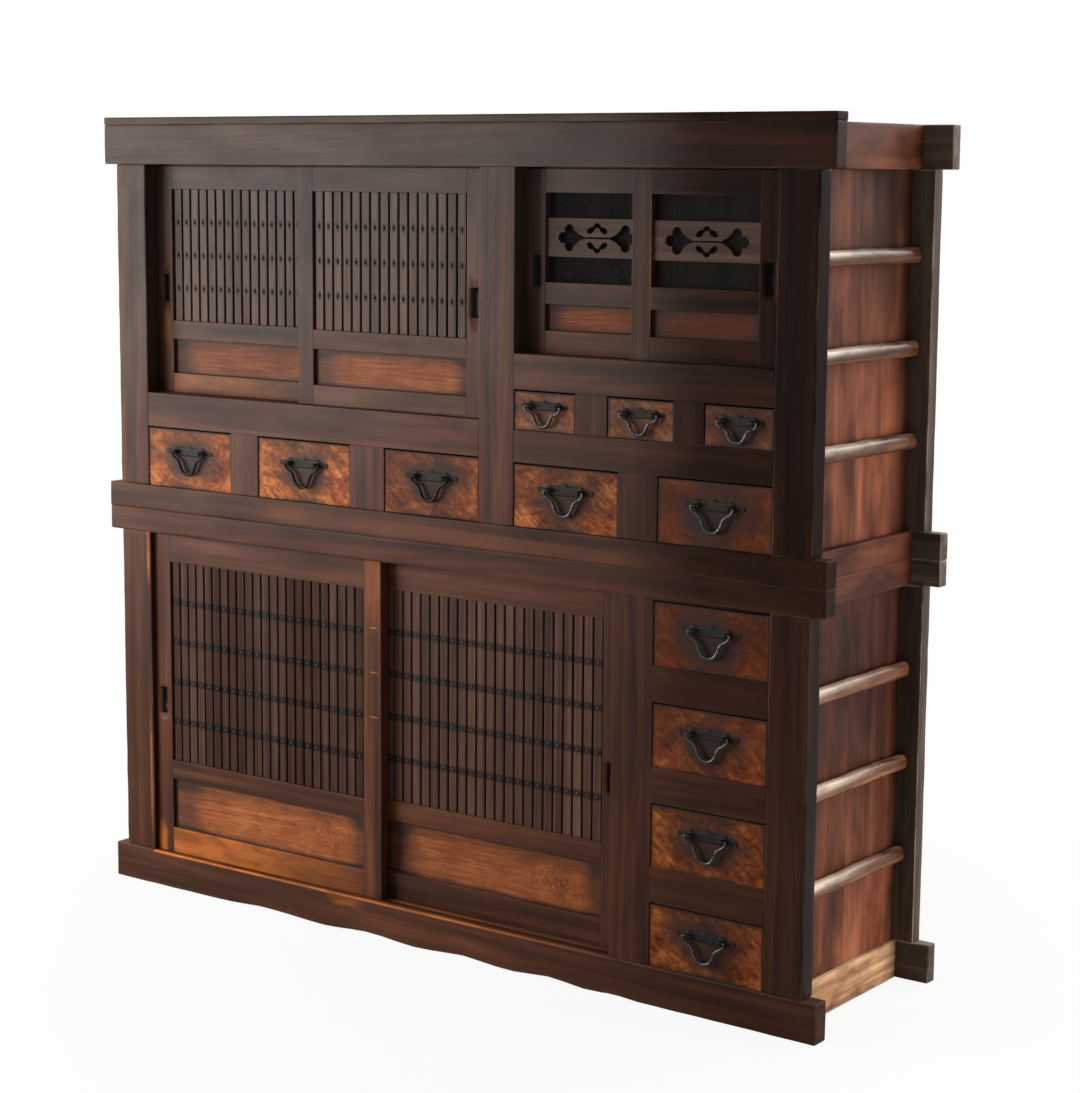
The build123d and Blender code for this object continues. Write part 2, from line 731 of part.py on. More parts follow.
def lattice(inner_x, y, window_z, slats, crossbars):
    """Flat upright slats with even gaps, and level crossbars behind them at even heights."""
    slat_y = (y[0] + slat_setback, y[0] + slat_setback + slat_thickness)
    bar_y = (slat_y[1], slat_y[1] + crossbar_thickness)
    gap = (size(inner_x) - slats * slat_width) / (slats + 1)
    pieces = []
    for n in range(slats):
        start = inner_x[0] + gap + n * (slat_width + gap)
        pieces.append(block((start, start + slat_width), slat_y, window_z))
    for n in range(crossbars):
        height = window_z[0] + size(window_z) * (n + 1) / (crossbars + 1)
        pieces.append(block(inner_x, bar_y, about(height, crossbar_height)))
    return pieces


def carved_board(x, y, z):
    """A board pierced by two lobed rosettes joined by a slit, half a flower above and below it."""
    centre_x, centre_z = middle(x), middle(z)
    face = Plane(origin=(centre_x, y[0], centre_z), x_dir=(1, 0, 0), z_dir=(0, -1, 0))
    half = rosette_spacing / 2
    with BuildPart() as board:
        with Locations((centre_x, middle(y), centre_z)):
            Box(size(x), size(y), size(z))
        with BuildSketch(face):
            Rectangle(rosette_spacing, slit_height)
            for hand in (-1, 1):
                lower_edge = [
                    (hand * (half - neck_root), -neck_root_height / 2),
                    (hand * (half - neck_waist), -neck_waist_height / 2),
                    (hand * (half - neck_end), -slit_height / 2),
                ]
                Polygon(*lower_edge, *((x, -z) for x, z in reversed(lower_edge)), align=None)
                rosette_x = hand * half
                with Locations((rosette_x, 0)):
                    Circle(rosette_core)
                with Locations(
                    (rosette_x + hand * rosette_lobe_ring, 0),
                    (rosette_x, rosette_lobe_ring),
                    (rosette_x, -rosette_lobe_ring),
                ):
                    Circle(rosette_lobe)
        extrude(amount=-size(y), mode=Mode.SUBTRACT)
        with BuildSketch(face):
            for row in (-1, 1):
                for hand in (-1, 1):
                    with Locations((hand * petal_spread, row * petal_rise)):
                        Ellipse(petal_length, petal_width, rotation=-row * hand * petal_tilt)
                with Locations((0, row * tip_petal_rise)):
                    Circle(tip_petal_radius)
                with Locations((0, row * tongue_rise / 2)):
                    Ellipse(tongue_half_width, tongue_rise / 2, mode=Mode.SUBTRACT)
        extrude(amount=-size(y), mode=Mode.SUBTRACT)
    return board.part


door_places = {
    # name: (opening, heights, overlap, hand, track)
    "upper_left_door_left": (upper_left_x, upper_left_door_z, upper_left_overlap, -1, rear_door_y),
    "upper_left_door_right": (upper_left_x, upper_left_door_z, upper_left_overlap, 1, front_door_y),
    "upper_right_door_left": (upper_right_x, upper_right_door_z, upper_right_overlap, -1, rear_door_y),
    "upper_right_door_right": (upper_right_x, upper_right_door_z, upper_right_overlap, 1, front_door_y),
    "lower_left_door_left": (lower_left_x, lower_clear_z, lower_left_overlap, -1, front_door_y),
    "lower_left_door_right": (lower_left_x, lower_clear_z, lower_left_overlap, 1, rear_door_y),
}
lattice_doors = {
    "upper_left": (
        upper_left_door_stile,
        upper_left_door_foot_rail,
        upper_left_door_panel,
        upper_left_door_middle_rail,
        upper_left_door_head_rail,
        upper_left_pull_rise,
        upper_left_slats,
        upper_left_crossbars,
    ),
    "lower_left": (
        lower_left_door_stile,
        lower_left_door_foot_rail,
        lower_left_door_panel,
        lower_left_door_middle_rail,
        lower_left_door_head_rail,
        lower_left_pull_rise,
        lower_left_slats,
        lower_left_crossbars,
    ),
}
for name, (opening_x, opening_z, overlap, hand, door_y) in door_places.items():
    door_x = door_spans(opening_x, overlap, hand)
    door_z = (opening_z[0] + door_foot_gap, opening_z[1] - door_head_gap)
    cupboard = name.split("_door_")[0]
    if cupboard in lattice_doors:
        *frame_sizes, slats, crossbars = lattice_doors[cupboard]
        pieces, inner_x, window_z = door_frame(door_x, door_y, door_z, *frame_sizes, hand)
        write_node(name, pieces + lattice(inner_x, door_y, window_z, slats, crossbars))
        continue
    pieces, inner_x, window_z = door_frame(
        door_x,
        door_y,
        door_z,
        upper_right_door_stile,
        upper_right_door_foot_rail,
        upper_right_door_panel,
        upper_right_door_middle_rail,
        upper_right_door_head_rail,
        upper_right_pull_rise,
        hand,
    )
    carved_low = window_z[0] + lower_mesh_window
    carved_z = (carved_low, carved_low + carved_board_height)
    carved_front = door_y[0] + carved_board_setback
    carved_y = (carved_front, carved_front + carved_board_thickness)
    mesh_y = (door_y[0] + mesh_setback, door_y[0] + mesh_setback + mesh_thickness)
    write_node(name, [*pieces, carved_board(inner_x, carved_y, carved_z)])
    write_node(f"{name}_mesh", [block(inner_x, mesh_y, window_z)])


# ---- drawers and their pulls ---------------------------------------------------------------------
def drawer_box(x, z):
    """A drawer: the front board rabbeted for the sides, two sides, a back and a bottom under them."""
    front_y_span = (drawer_y[0], drawer_y[0] + drawer_front_thickness)
    body_y = (front_y_span[1] - drawer_lap, drawer_y[1])
    side_z = (z[0] + drawer_bottom_thickness, z[1] - drawer_side_drop)
    left = (x[0], x[0] + drawer_side_thickness)
    right = (x[1] - drawer_side_thickness, x[1])
    lap_y = (body_y[0], front_y_span[1])
    bottom_z = (z[0], z[0] + drawer_bottom_thickness)
    laps = [(left, lap_y, side_z), (right, lap_y, side_z)]
    inner_x = (left[1], right[0])
    return [
        block(x, front_y_span, z, cuts=laps),
        block(left, body_y, side_z),
        block(right, body_y, side_z),
        block(inner_x, (drawer_y[1] - drawer_side_thickness, drawer_y[1]), side_z),
        block(x, (front_y_span[1], drawer_y[1]), bottom_z),
    ]


def pull_plate(centre_x, pivot_z, pull):
    """A lobed iron plate with two studs, each with a collar at its root and an eye for the bail."""
    face = Plane(origin=(centre_x, drawer_y[0], pivot_z), x_dir=(1, 0, 0), z_dir=(0, -1, 0))
    eye = pull["eye_spacing"] / 2
    tip = pull["plate_length"] / 2 - pull["tip_radius"]
    with BuildPart() as plate:
        with BuildSketch(face):
            Rectangle(2 * eye, pull["bar_height"])
            Rectangle(2 * tip, pull["neck_height"])
            with Locations((-eye, 0), (eye, 0), (0, pull["crest_rise"])):
                Circle(pull["lobe_radius"])
            with Locations((-tip, 0), (tip, 0)):
                Circle(pull["tip_radius"])
        extrude(amount=plate_thickness)
        with BuildSketch(face.offset(plate_thickness)):
            with Locations((-eye, 0), (eye, 0)):
                Circle(stud_collar_radius)
        extrude(amount=stud_collar_thickness)
        with BuildSketch(face.offset(plate_thickness)):
            with Locations((-eye, 0), (eye, 0)):
                Circle(stud_radius)
        extrude(amount=stud_reach)
        with BuildSketch(Plane(origin=(centre_x, pivot_y, pivot_z), z_dir=(1, 0, 0))):
            Circle(bail_radius + eye_clearance)
        extrude(amount=eye + 2 * stud_radius, both=True, mode=Mode.SUBTRACT)
    return plate.part


def bail(centre_x, pivot_z, pull):
    """A round iron bail whose tips lie in the eyes, bent back outside the studs to a narrow grip."""
    eye = pull["eye_spacing"] / 2
    half_path = [
        (eye - bail_inset, 0.0),
        (eye + stud_radius + bail_outset, 0.0),
        (eye + stud_radius + shoulder_outset, -shoulder_drop),
        *((width, -drop) for width, drop in zip(pull["grip_half_widths"], pull["grip_drops"])),
    ]
    path_xz = [(-x, z) for x, z in half_path] + half_path[::-1]
    points = [(centre_x + x, pivot_y, pivot_z + z) for x, z in path_xz]
    with BuildPart() as rod:
        with BuildLine() as path:
            FilletPolyline(*points, radius=bail_bend_radii + bail_bend_radii[::-1])
        with BuildSketch(Plane(origin=points[0], z_dir=(1, 0, 0))):
            Circle(bail_radius)
        sweep(path=path.line)
    return rod.part


pivot_y = drawer_y[0] - plate_thickness - pivot_reach
drawer_places = {}
for number, x in enumerate(left_row[::2], 1):
    drawer_places[f"upper_left_drawer_{number}"] = (x, upper_left_drawer_z, large_pull)
for number, x in enumerate(small_row[::2], 1):
    drawer_places[f"small_drawer_{number}"] = (x, small_drawer_z, small_pull)
for number, x in enumerate(large_row[::2], 1):
    drawer_places[f"upper_right_drawer_{number}"] = (x, large_drawer_z, large_pull)
for number, z in enumerate(reversed(lower_drawer_zs), 1):
    drawer_places[f"lower_drawer_{number}"] = (lower_right_x, z, large_pull)

for name, (x, z, pull) in drawer_places.items():
    box_x = (x[0] + drawer_side_gap, x[1] - drawer_side_gap)
    box_z = (z[0] + drawer_foot_gap, z[1] - drawer_head_gap)
    pivot_z = middle(box_z) + pull["above_centre"]
    write_node(name, drawer_box(box_x, box_z))
    write_node(f"{name}_plate", [pull_plate(middle(x), pivot_z, pull)])
    write_node(f"{name}_bail", [bail(middle(x), pivot_z, pull)])
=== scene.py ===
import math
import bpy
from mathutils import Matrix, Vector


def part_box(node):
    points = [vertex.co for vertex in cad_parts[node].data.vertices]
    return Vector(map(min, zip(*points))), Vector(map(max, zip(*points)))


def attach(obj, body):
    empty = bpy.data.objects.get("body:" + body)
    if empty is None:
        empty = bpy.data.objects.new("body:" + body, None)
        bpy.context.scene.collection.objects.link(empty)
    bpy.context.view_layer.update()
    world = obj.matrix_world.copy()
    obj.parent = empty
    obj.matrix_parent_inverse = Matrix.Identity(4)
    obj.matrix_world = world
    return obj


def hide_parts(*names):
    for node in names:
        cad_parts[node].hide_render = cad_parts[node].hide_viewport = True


bl_info = {
    "name": "Mizuya Cabinet",
    "version": (1, 0, 0),
    "blender": (4, 5, 0),
    "location": "View3D > Sidebar > Mizuya",
    "description": "Worn timbers, sliding doors, drawers and forged ironwork of a mizuya kitchen cabinet",
    "category": "Object",
}

import bpy
import numpy as np
from bpy.props import FloatProperty, FloatVectorProperty, PointerProperty
from mathutils import Matrix, Vector

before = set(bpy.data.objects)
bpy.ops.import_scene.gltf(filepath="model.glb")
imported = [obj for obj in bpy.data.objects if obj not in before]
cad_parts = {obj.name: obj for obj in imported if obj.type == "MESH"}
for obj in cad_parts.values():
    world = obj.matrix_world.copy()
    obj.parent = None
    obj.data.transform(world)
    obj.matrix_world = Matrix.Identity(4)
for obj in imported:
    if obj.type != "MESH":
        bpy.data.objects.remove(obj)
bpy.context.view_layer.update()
MM = 0.001
X, Y, Z = 0, 1, 2


def linear(hex_colour):
    """An sRGB hex colour as linear red, green, blue."""
    value = np.array([int(hex_colour[i : i + 2], 16) for i in (1, 3, 5)]) / 255
    return tuple(np.where(value <= 0.04045, value / 12.92, ((value + 0.055) / 1.055) ** 2.4))


def linears(*hex_colours):
    """Several sRGB hex colours as linear ones."""
    return [linear(hex_colour) for hex_colour in hex_colours]


# ---- sizes and colours a user would change ---------------------------------------------------------------
def length(name, description, millimetres):
    return FloatProperty(name=name, description=description, default=millimetres * MM, min=0, unit="LENGTH")


def rotation(name, description, degrees):
    return FloatProperty(name=name, description=description, default=math.radians(degrees), unit="ROTATION")


def quantity(name, description, default):
    return FloatProperty(name=name, description=description, default=default)


def colour(name, description, hex_colour):
    return FloatVectorProperty(
        name=name, description=description, default=linear(hex_colour), size=3, min=0, max=1, subtype="COLOR"
    )


class MizuyaTimber(bpy.types.PropertyGroup):
    beam_ease: length("Beam edges", "Rounding of the worn edges of beams and posts", 2.4)
    joinery_ease: length("Joinery edges", "Rounding of rails, stiles and boards", 0.9)
    slat_ease: length("Slat edges", "Rounding of the door slats", 0.8)
    rung_wear: length("Rung wear", "How far the side rungs are worn out of round", 1.6)
    grid_step: length("Grid step", "Spacing of the surface grid along a board", 45.0)
    tenon: length("Tenon", "Length of the tenons hidden at the ends of the uprights", 28.0)
    lacquer_dark: colour("Lacquer, dark", "Darkest streaks of the lacquered frame", "#2b1911")
    lacquer_mid: colour("Lacquer", "Lacquered frame", "#402417")
    lacquer_light: colour("Lacquer, light", "Reddish streaks of the lacquered frame", "#52301f")
    worn: colour("Worn lacquer", "Wood that shows where the lacquer has rubbed off", "#b5652c")
    edges: colour("Edges", "Dull wood along the rubbed edges", "#7f6552")


class MizuyaDoors(bpy.types.PropertyGroup):
    tongue: length("Tongue", "Thickness of the tongues that run in the grooves", 7.6)
    tongue_foot: length("Foot tongue", "Height of the tongue under a door", 4.7)
    tongue_head: length("Head tongue", "Height of the tongue above a door", 11.0)
    groove: length("Groove", "Width of the grooves in sill, rails and beams", 8.4)
    foot_groove: length("Foot groove", "Depth of the grooves below a door", 5.3)
    head_groove: length("Head groove", "Depth of the grooves above a door", 16.0)
    side_gap: length("Side gap", "Gap between a closed door and its jamb", 0.5)
    pull_width: length("Finger pull width", "Width of the recess in the outer stile", 20.0)
    pull_height: length("Finger pull height", "Height of the recess in the outer stile", 61.0)
    pull_depth: length("Finger pull depth", "Depth of the recess in the outer stile", 8.0)
    nail_radius: length("Nail radius", "Radius of the domed nails on the slats", 3.0)
    nail_rise: length("Nail height", "How far the nails stand out of the slats", 1.6)
    wire_radius: length("Wire radius", "Radius of the wire in the openwork doors", 0.5)
    wire_pitch: length("Wire pitch", "Level distance between two wires of one direction", 7.0)
    slats: colour("Slats", "Greyed face of the slats", "#462f25")


class MizuyaPulls(bpy.types.PropertyGroup):
    plate: length("Plate", "Thickness of the iron plate", 1.6)
    rod: length("Rod", "Radius of the bail at its grip", 2.75)
    swell: quantity("Swell", "How much thicker the bail's grip is than its ends", 0.42)
    eye_hole: length("Eye hole", "Radius of the hole in each eye", 2.85)
    eye_radius: length("Eye radius", "Outer radius of each eye", 5.0)
    eye_width: length("Eye width", "Width of each eye along the bail's axis", 8.4)
    neck: length("Stud neck", "Radius of the stud that carries an eye", 2.9)
    collar: length("Collar", "Radius of the washer under each stud", 7.6)
    iron: colour("Iron", "Forged iron", "#151716")


class MizuyaStage(bpy.types.PropertyGroup):
    camera_place: FloatVectorProperty(
        name="Camera", description="Where the camera stands", default=(3.1706, -4.1467, 1.6395), unit="LENGTH"
    )
    camera_turn: rotation("Turn", "Camera's turn", 36.415)
    camera_dip: rotation("Dip", "Camera's dip", 8.431)
    camera_roll: rotation("Roll", "Camera's roll", 0.426)
    lens: quantity("Lens", "Focal length on a 36 mm sensor, in mm", 80.94)
    key_power: quantity("Key light", "Power of the left front light, in W", 155.0)
    side_power: quantity("Side light", "Power of the right light, in W", 46.0)
    back_power: quantity("Back light", "Power of the light behind, in W", 75.0)
    ambient: quantity("Ambient", "Strength of the even light from all round", 0.24)
    floor: colour("Floor", "Pale studio floor", "#f2f1ef")


# ---- shapes as arrays ------------------------------------------------------------------------------------
# A surface is (points, faces, grain, finish). faces maps a side count to an array of corner numbers. grain
# is each point's place in its board, in metres: along, across and through, shifted for each board. finish is
# (edge, tone, mark): how rounded the point is, the board's own shade, and a mark that the material reads in
# its own way.
def surface(points, faces, grain=None, finish=None):
    zeros = np.zeros_like(points)
    return points, faces, zeros if grain is None else grain, zeros if finish is None else finish


def joined(parts):
    """Several surfaces as one: arrays end to end, corner numbers raised by the points before them."""
    starts = np.cumsum([0] + [len(part[0]) for part in parts])
    sides = sorted({side for part in parts for side in part[1]})
    faces = {
        side: np.concatenate([part[1][side] + start for part, start in zip(parts, starts) if side in part[1]])
        for side in sides
    }
    return (
        np.concatenate([part[0] for part in parts]),
        faces,
        np.concatenate([part[2] for part in parts]),
        np.concatenate([part[3] for part in parts]),
    )


def unevenness(points, seed, waves_per_metre):
    """Smooth unevenness from 0 to 1: six sine waves of random direction and length, added and squeezed."""
    rng = np.random.default_rng(seed)
    waves = rng.normal(size=(6, 3)) * waves_per_metre * 2 * math.pi
    total = np.sin(points @ waves.T + rng.uniform(0, 2 * math.pi, 6)).sum(-1)
    return 0.5 + 0.5 * np.tanh(total * 0.6)


def grid_quads(rows, columns):
    """Corner numbers of the quads of a grid whose points are numbered row by row."""
    row, column = np.meshgrid(np.arange(rows - 1), np.arange(columns - 1), indexing="ij")
    first = (row * columns + column).ravel()
    return np.stack([first, first + columns, first + columns + 1, first + 1], axis=1)


def board(low, high, ease, seed, step, recesses=(), wave=None, mark=0.0, rim=0.0, tone=None):
    """A worn board that fills the box from low to high.

    Each of the six faces is a grid. A point moves to the surface of a box with rounded edges: it is drawn
    back to the box that is smaller by the ease, and pushed out from there by the ease along the direction in
    between. The ease itself varies smoothly along the edges, between 0.6 and 1.5 times its size. recesses
    are (axis, side, span, span, depth, mark), sunk into the face on that side between the spans of its other
    two axes, and given that mark. One with no depth is a stain, a rubbed place, a painted shadow or a painted
    highlight: its mark is full in the middle and falls evenly to the edges of its spans. wave is a function
    of x that raises the lower edge.
    The grain runs along the longest side. rim darkens the points near the board's outline.
    """
    low, high = np.array(low, float), np.array(high, float)
    centre, half = (low + high) / 2, (high - low) / 2
    order = np.argsort(-half)
    ease = min(ease, 0.45 * half.min())
    lines = []
    for axis in range(3):
        inner = half[axis] - 2.4 * ease if half[axis] > 4 * ease else half[axis] - 1.6 * ease
        even = np.linspace(-inner, inner, max(2, int(math.ceil(2 * inner / step)) + 1))
        edge = half[axis] - ease * np.array([0.0, 0.3, 1.0])
        extra = []
        for face_axis, _, *spans, depth, _ in recesses:
            if face_axis != axis:
                span = spans[[n for n in range(3) if n != face_axis].index(axis)]
                middle, reach = sum(span) / 2 - centre[axis], (span[1] - span[0]) / 2
                places = (reach - 0.2 * MM, reach + 0.2 * MM) if depth else (0.375 * reach, reach)
                extra += [middle + way * place for way in (-1, 1) for place in places]
        extra = [value for value in extra if abs(value) < inner]
        lines.append(np.unique(np.round(np.concatenate([-edge, even, edge, extra]), 7)))
    points, quads, total = [], [], 0
    for axis in range(3):
        a, b = (axis + 1) % 3, (axis + 2) % 3
        for side in (-1, 1):
            at_a, at_b = np.meshgrid(lines[a], lines[b], indexing="ij")
            flat = np.zeros((at_a.size, 3))
            flat[:, a], flat[:, b], flat[:, axis] = at_a.ravel(), at_b.ravel(), side * half[axis]
            face = grid_quads(*at_a.shape) + total
            points.append(flat)
            quads.append(face if side > 0 else face[:, ::-1])
            total += len(flat)
    points = np.concatenate(points)
    local_ease = ease * (0.6 + 0.9 * unevenness(points + centre, seed, 7.0))[:, None]
    core = np.clip(points, -(half - local_ease), half - local_ease)
    out = points - core
    reach = np.linalg.norm(out, axis=1, keepdims=True)
    worn = core + out / np.maximum(reach, 1e-9) * local_ease
    edge = np.clip((1 - np.abs(out).max(1) / np.maximum(reach[:, 0], 1e-9)) * 3.4, 0, 1)
    marks = np.full(len(points), float(mark))
    if rim:
        across = (half[order[:2]] - np.abs(points[:, order[:2]])).min(1)
        marks = marks - np.clip(1 - across / rim, 0, 1)
    for axis, side, *spans, depth, level in recesses:
        others = [n for n in range(3) if n != axis]
        away = [
            np.abs(points[:, n] + centre[n] - sum(span) / 2) / ((span[1] - span[0]) / 2)
            for n, span in zip(others, spans)
        ]
        on_face = points[:, axis] * side > half[axis] - 1e-6
        if depth:
            inside = on_face & (away[0] < 1) & (away[1] < 1)
            worn[inside, axis] -= side * depth
            marks[inside] = level
        else:
            marks += level * on_face * np.prod(np.clip(1.6 * (1 - np.array(away)), 0, 1), axis=0)
    shift = np.random.default_rng(seed + 7).uniform(0, 20, 3)
    grain = points[:, order] + shift
    if tone is None:
        tone = np.random.default_rng(seed + 3).uniform(0.2, 0.8)
    worn += centre
    if wave is not None:
        worn[:, Z] += wave(worn[:, X]) * (high[Z] - worn[:, Z]) / (high[Z] - low[Z])
    _, keep, number = np.unique(np.round(points, 7), axis=0, return_index=True, return_inverse=True)
    finish = np.stack([edge, np.full(len(points), tone), marks], axis=1)
    quads = number.ravel()[np.concatenate(quads)]
    return surface(worn[keep], {4: quads}, grain[keep], finish[keep])


def loft(rings, closed=False):
    """A skin over rings of points, shape (rings, points, 3). Its ends are closed by fans, or it meets itself
    if closed. The faces are turned outwards by the sign of the volume that they enclose."""
    count, around = rings.shape[:2]
    row, column = np.meshgrid(np.arange(count if closed else count - 1), np.arange(around), indexing="ij")
    row, column = row.ravel(), column.ravel()
    below, beside = (row + 1) % count, (column + 1) % around
    near, far = row * around, below * around
    quads = np.stack([near + column, far + column, far + beside, near + beside], axis=1)
    points = rings.reshape(-1, 3)
    faces = {4: quads}
    if not closed:
        here, there = np.arange(around), (np.arange(around) + 1) % around
        first, last = np.full(around, len(points)), np.full(around, len(points) + 1)
        top = (count - 1) * around
        points = np.concatenate([points, rings[:1].mean(1), rings[-1:].mean(1)])
        faces[3] = np.concatenate(
            [np.stack([first, here, there], axis=1), np.stack([last, top + there, top + here], axis=1)]
        )
    a, b, c = (points[quads[:, n]] - points.mean(0) for n in (0, 1, 2))
    d = points[quads[:, 3]] - points.mean(0)
    volume = (np.cross(a, b) * c).sum() + (np.cross(a, c) * d).sum()
    if volume < 0:
        faces = {side: face[:, ::-1] for side, face in faces.items()}
    return surface(points, faces)


def tube(path, radius, side, around=10):
    """A round rod along a path that lies in one plane. side is that plane's normal, and each ring is spanned
    by side and by the cross product of the path's direction with it."""
    direction = np.gradient(path, axis=0)
    direction /= np.linalg.norm(direction, axis=1, keepdims=True)
    across = np.cross(direction, side)
    angle = np.arange(around) / around * 2 * math.pi
    radius = np.broadcast_to(radius, len(path))[:, None, None]
    cosine, sine = np.cos(angle)[None, :, None], np.sin(angle)[None, :, None]
    ring = cosine * np.array(side, float) + sine * across[:, None, :]
    return loft(path[:, None, :] + ring * radius)


def smooth_path(corners, per_corner):
    """A smooth curve that leaves and meets the end points and turns inside each corner: a quadratic
    B-spline, whose pieces run between the midpoints of the legs."""
    corners = np.array(corners, float)
    middles = (corners[1:] + corners[:-1]) / 2
    t = np.linspace(0, 1, per_corner, endpoint=False)[:, None]
    bends = [
        (1 - t) ** 2 * middles[n] + 2 * t * (1 - t) * corners[n + 1] + t**2 * middles[n + 1]
        for n in range(len(corners) - 2)
    ]
    return np.concatenate([corners[:1], *bends, middles[-1:], corners[-1:]])


# ---- pieces ----------------------------------------------------------------------------------------------
def triangles_of(node):
    """The points of a CAD node's mesh, and the numbers of the points of each of its triangles."""
    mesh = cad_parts[node].data
    points = np.empty(len(mesh.vertices) * 3, np.float32)
    mesh.vertices.foreach_get("co", points)
    corners = np.empty(len(mesh.loops), np.int32)
    mesh.loops.foreach_get("vertex_index", corners)
    return points.reshape(-1, 3), corners.reshape(-1, 3)


def solids(node):
    """The lowest and highest corner of each separate solid of a CAD node, in the order in which they were
    made.

    The triangles of one solid follow each other, so a solid ends where every edge met so far has been met an
    even number of times: edges count +1 and -1 in turn, and the running sum falls to zero.
    """
    points, triangles = triangles_of(node)
    _, number = np.unique(np.round(points * 1e5).astype(np.int64), axis=0, return_inverse=True)
    merged = number.ravel()[triangles]
    edges = np.sort(np.stack([merged, np.roll(merged, -1, axis=1)], axis=-1).reshape(-1, 2), axis=1)
    key = edges[:, 0].astype(np.int64) * (merged.max() + 1) + edges[:, 1]
    order = np.argsort(key, kind="stable")
    is_first = np.concatenate([[True], np.diff(key[order]) != 0])
    place = np.arange(len(key))
    since = place - np.maximum.accumulate(np.where(is_first, place, 0))
    turn = np.empty(len(key), int)
    turn[order] = np.where(since % 2 == 0, 1, -1)
    ends = np.flatnonzero(np.cumsum(turn.reshape(-1, 3).sum(1)) == 0) + 1
    starts = np.concatenate([[0], ends[:-1]])
    found = []
    for start, end in zip(starts, ends):
        used = points[triangles[start:end].ravel()].astype(float)
        found.append((used.min(0), used.max(0), (start, end)))
    return found


def solid_copy(node, span):
    """A merged copy of one solid of a CAD node, with its longest side as the grain."""
    points, triangles = triangles_of(node)
    used = points.astype(float)[triangles[span[0] : span[1]].ravel()]
    merged, number = np.unique(np.round(used, 6), axis=0, return_inverse=True)
    order = np.argsort(-(merged.max(0) - merged.min(0)))
    return surface(merged, {3: number.ravel().reshape(-1, 3)}, merged[:, order] + 3.0)


def make_piece(name, body, material, shape, nodes=()):
    """Puts a surface into a mesh object at the origin, with its grain and finish as attributes, and ties it
    to the CAD body that carries it and to the nodes that it stands for."""
    points, faces, grain, finish = shape
    mesh = bpy.data.meshes.new(name)
    sides = np.concatenate([np.full(len(face), side) for side, face in faces.items()])
    corners = np.concatenate([face.ravel() for face in faces.values()])
    mesh.vertices.add(len(points))
    mesh.vertices.foreach_set("co", points.astype(np.float32).ravel())
    mesh.loops.add(len(corners))
    mesh.loops.foreach_set("vertex_index", corners.astype(np.int32))
    mesh.polygons.add(len(sides))
    mesh.polygons.foreach_set("loop_start", np.concatenate([[0], np.cumsum(sides)[:-1]]).astype(np.int32))
    mesh.update(calc_edges=True)
    mesh.validate()
    for attribute, values in (("grain", grain), ("finish", finish)):
        mesh.attributes.new(attribute, "FLOAT_VECTOR", "POINT").data.foreach_set(
            "vector", values.astype(np.float32).ravel()
        )
    mesh.shade_smooth()
    mesh.materials.append(material)
    made = bpy.data.objects.new(name, mesh)
    bpy.context.scene.collection.objects.link(made)
    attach(made, body)
    if nodes:
        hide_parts(*nodes)
    return made


def seed_of(name, number=0):
    return sum(ord(letter) * (n + 1) for n, letter in enumerate(name)) + 31 * number


# ---- materials -------------------------------------------------------------------------------------------
def new_material(name):
    material = bpy.data.materials.new(name)
    material.use_nodes = True
    material.node_tree.nodes.clear()
    return material, material.node_tree


def add(tree, kind, sockets=None, stops=None, **settings):
    """Adds a node. sockets maps an input's name or number to a value or to another node's output, stops
    fills a colour ramp with (place, colour) pairs, and settings are the node's own."""
    made = tree.nodes.new("ShaderNode" + kind)
    for key, value in settings.items():
        setattr(made, key, value)
    for place, shade in stops or ():
        ramp = made.color_ramp
        stop = ramp.elements[0] if place == stops[0][0] else ramp.elements.new(place)
        stop.position, stop.color = place, (*shade[:3], 1)
    if stops:
        made.color_ramp.elements.remove(made.color_ramp.elements[-1])
    for key, value in (sockets or {}).items():
        if isinstance(value, bpy.types.NodeSocket):
            tree.links.new(value, made.inputs[key])
        else:
            made.inputs[key].default_value = value
    return made


# Colours that lie on the wood and the iron, or have gone into them, and colours that paint light. The first
# is a grey that paints the lacquer's sheen high up; the second a black for real stains and for painted shade;
# then red lacquer; then grime, which also paints shade at rims and edges; and rust.
PAINTED_SHEEN_GREY = linear("#423d39")
STAIN_AND_PAINTED_SHADE = (0.006, 0.005, 0.005)
RED_LACQUER = linear("#7d3a1c")
GRIME_AND_PAINTED_SHADE = linear("#2b211d")
RUST = linear("#221813")


def wood_coordinates(tree):
    """A board's grain coordinates as a noise maker, and the three parts of its finish: edge, tone and
    mark."""
    place = add(tree, "Attribute", attribute_name="grain").outputs["Vector"]
    finish = add(tree, "SeparateXYZ", {0: add(tree, "Attribute", attribute_name="finish").outputs["Vector"]})

    def noise(along_mm, across_mm, detail, distortion, rough=0.55, turn=0.0):
        scale = (1000 / along_mm, 1000 / across_mm, 1000 / across_mm)
        if turn:
            place_turned = add(tree, "Mapping", {"Vector": place, "Rotation": (0, 0, turn)}).outputs[0]
        spread = add(tree, "Mapping", {"Vector": place_turned if turn else place, "Scale": scale}).outputs[0]
        return add(
            tree, "TexNoise",
            {"Vector": spread, "Scale": 1.0, "Detail": detail, "Roughness": rough, "Distortion": distortion},
        ).outputs["Fac"]

    return noise, finish.outputs


def maths(tree, operation, first, second, third=None, clamped=False):
    values = {0: first, 1: second} if third is None else {0: first, 1: second, 2: third}
    return add(tree, "Math", values, operation=operation, use_clamp=clamped).outputs[0]


def spread_to(tree, value, low, high, from_low=0.0, from_high=1.0):
    sockets = {"Value": value, "From Min": from_low, "From Max": from_high, "To Min": low, "To Max": high}
    return add(tree, "MapRange", sockets).outputs[0]


def scaled(tree, shade, factor):
    """A colour times a factor."""
    return add(tree, "VectorMath", {0: shade, "Scale": factor}, operation="SCALE").outputs[0]


def mixed(tree, amount, first, second):
    """Two colours mixed. The second may be plain red, green and blue."""
    second = second if isinstance(second, bpy.types.NodeSocket) else (*second[:3], 1)
    return add(tree, "Mix", {0: amount, 6: first, 7: second}, data_type="RGBA").outputs[2]


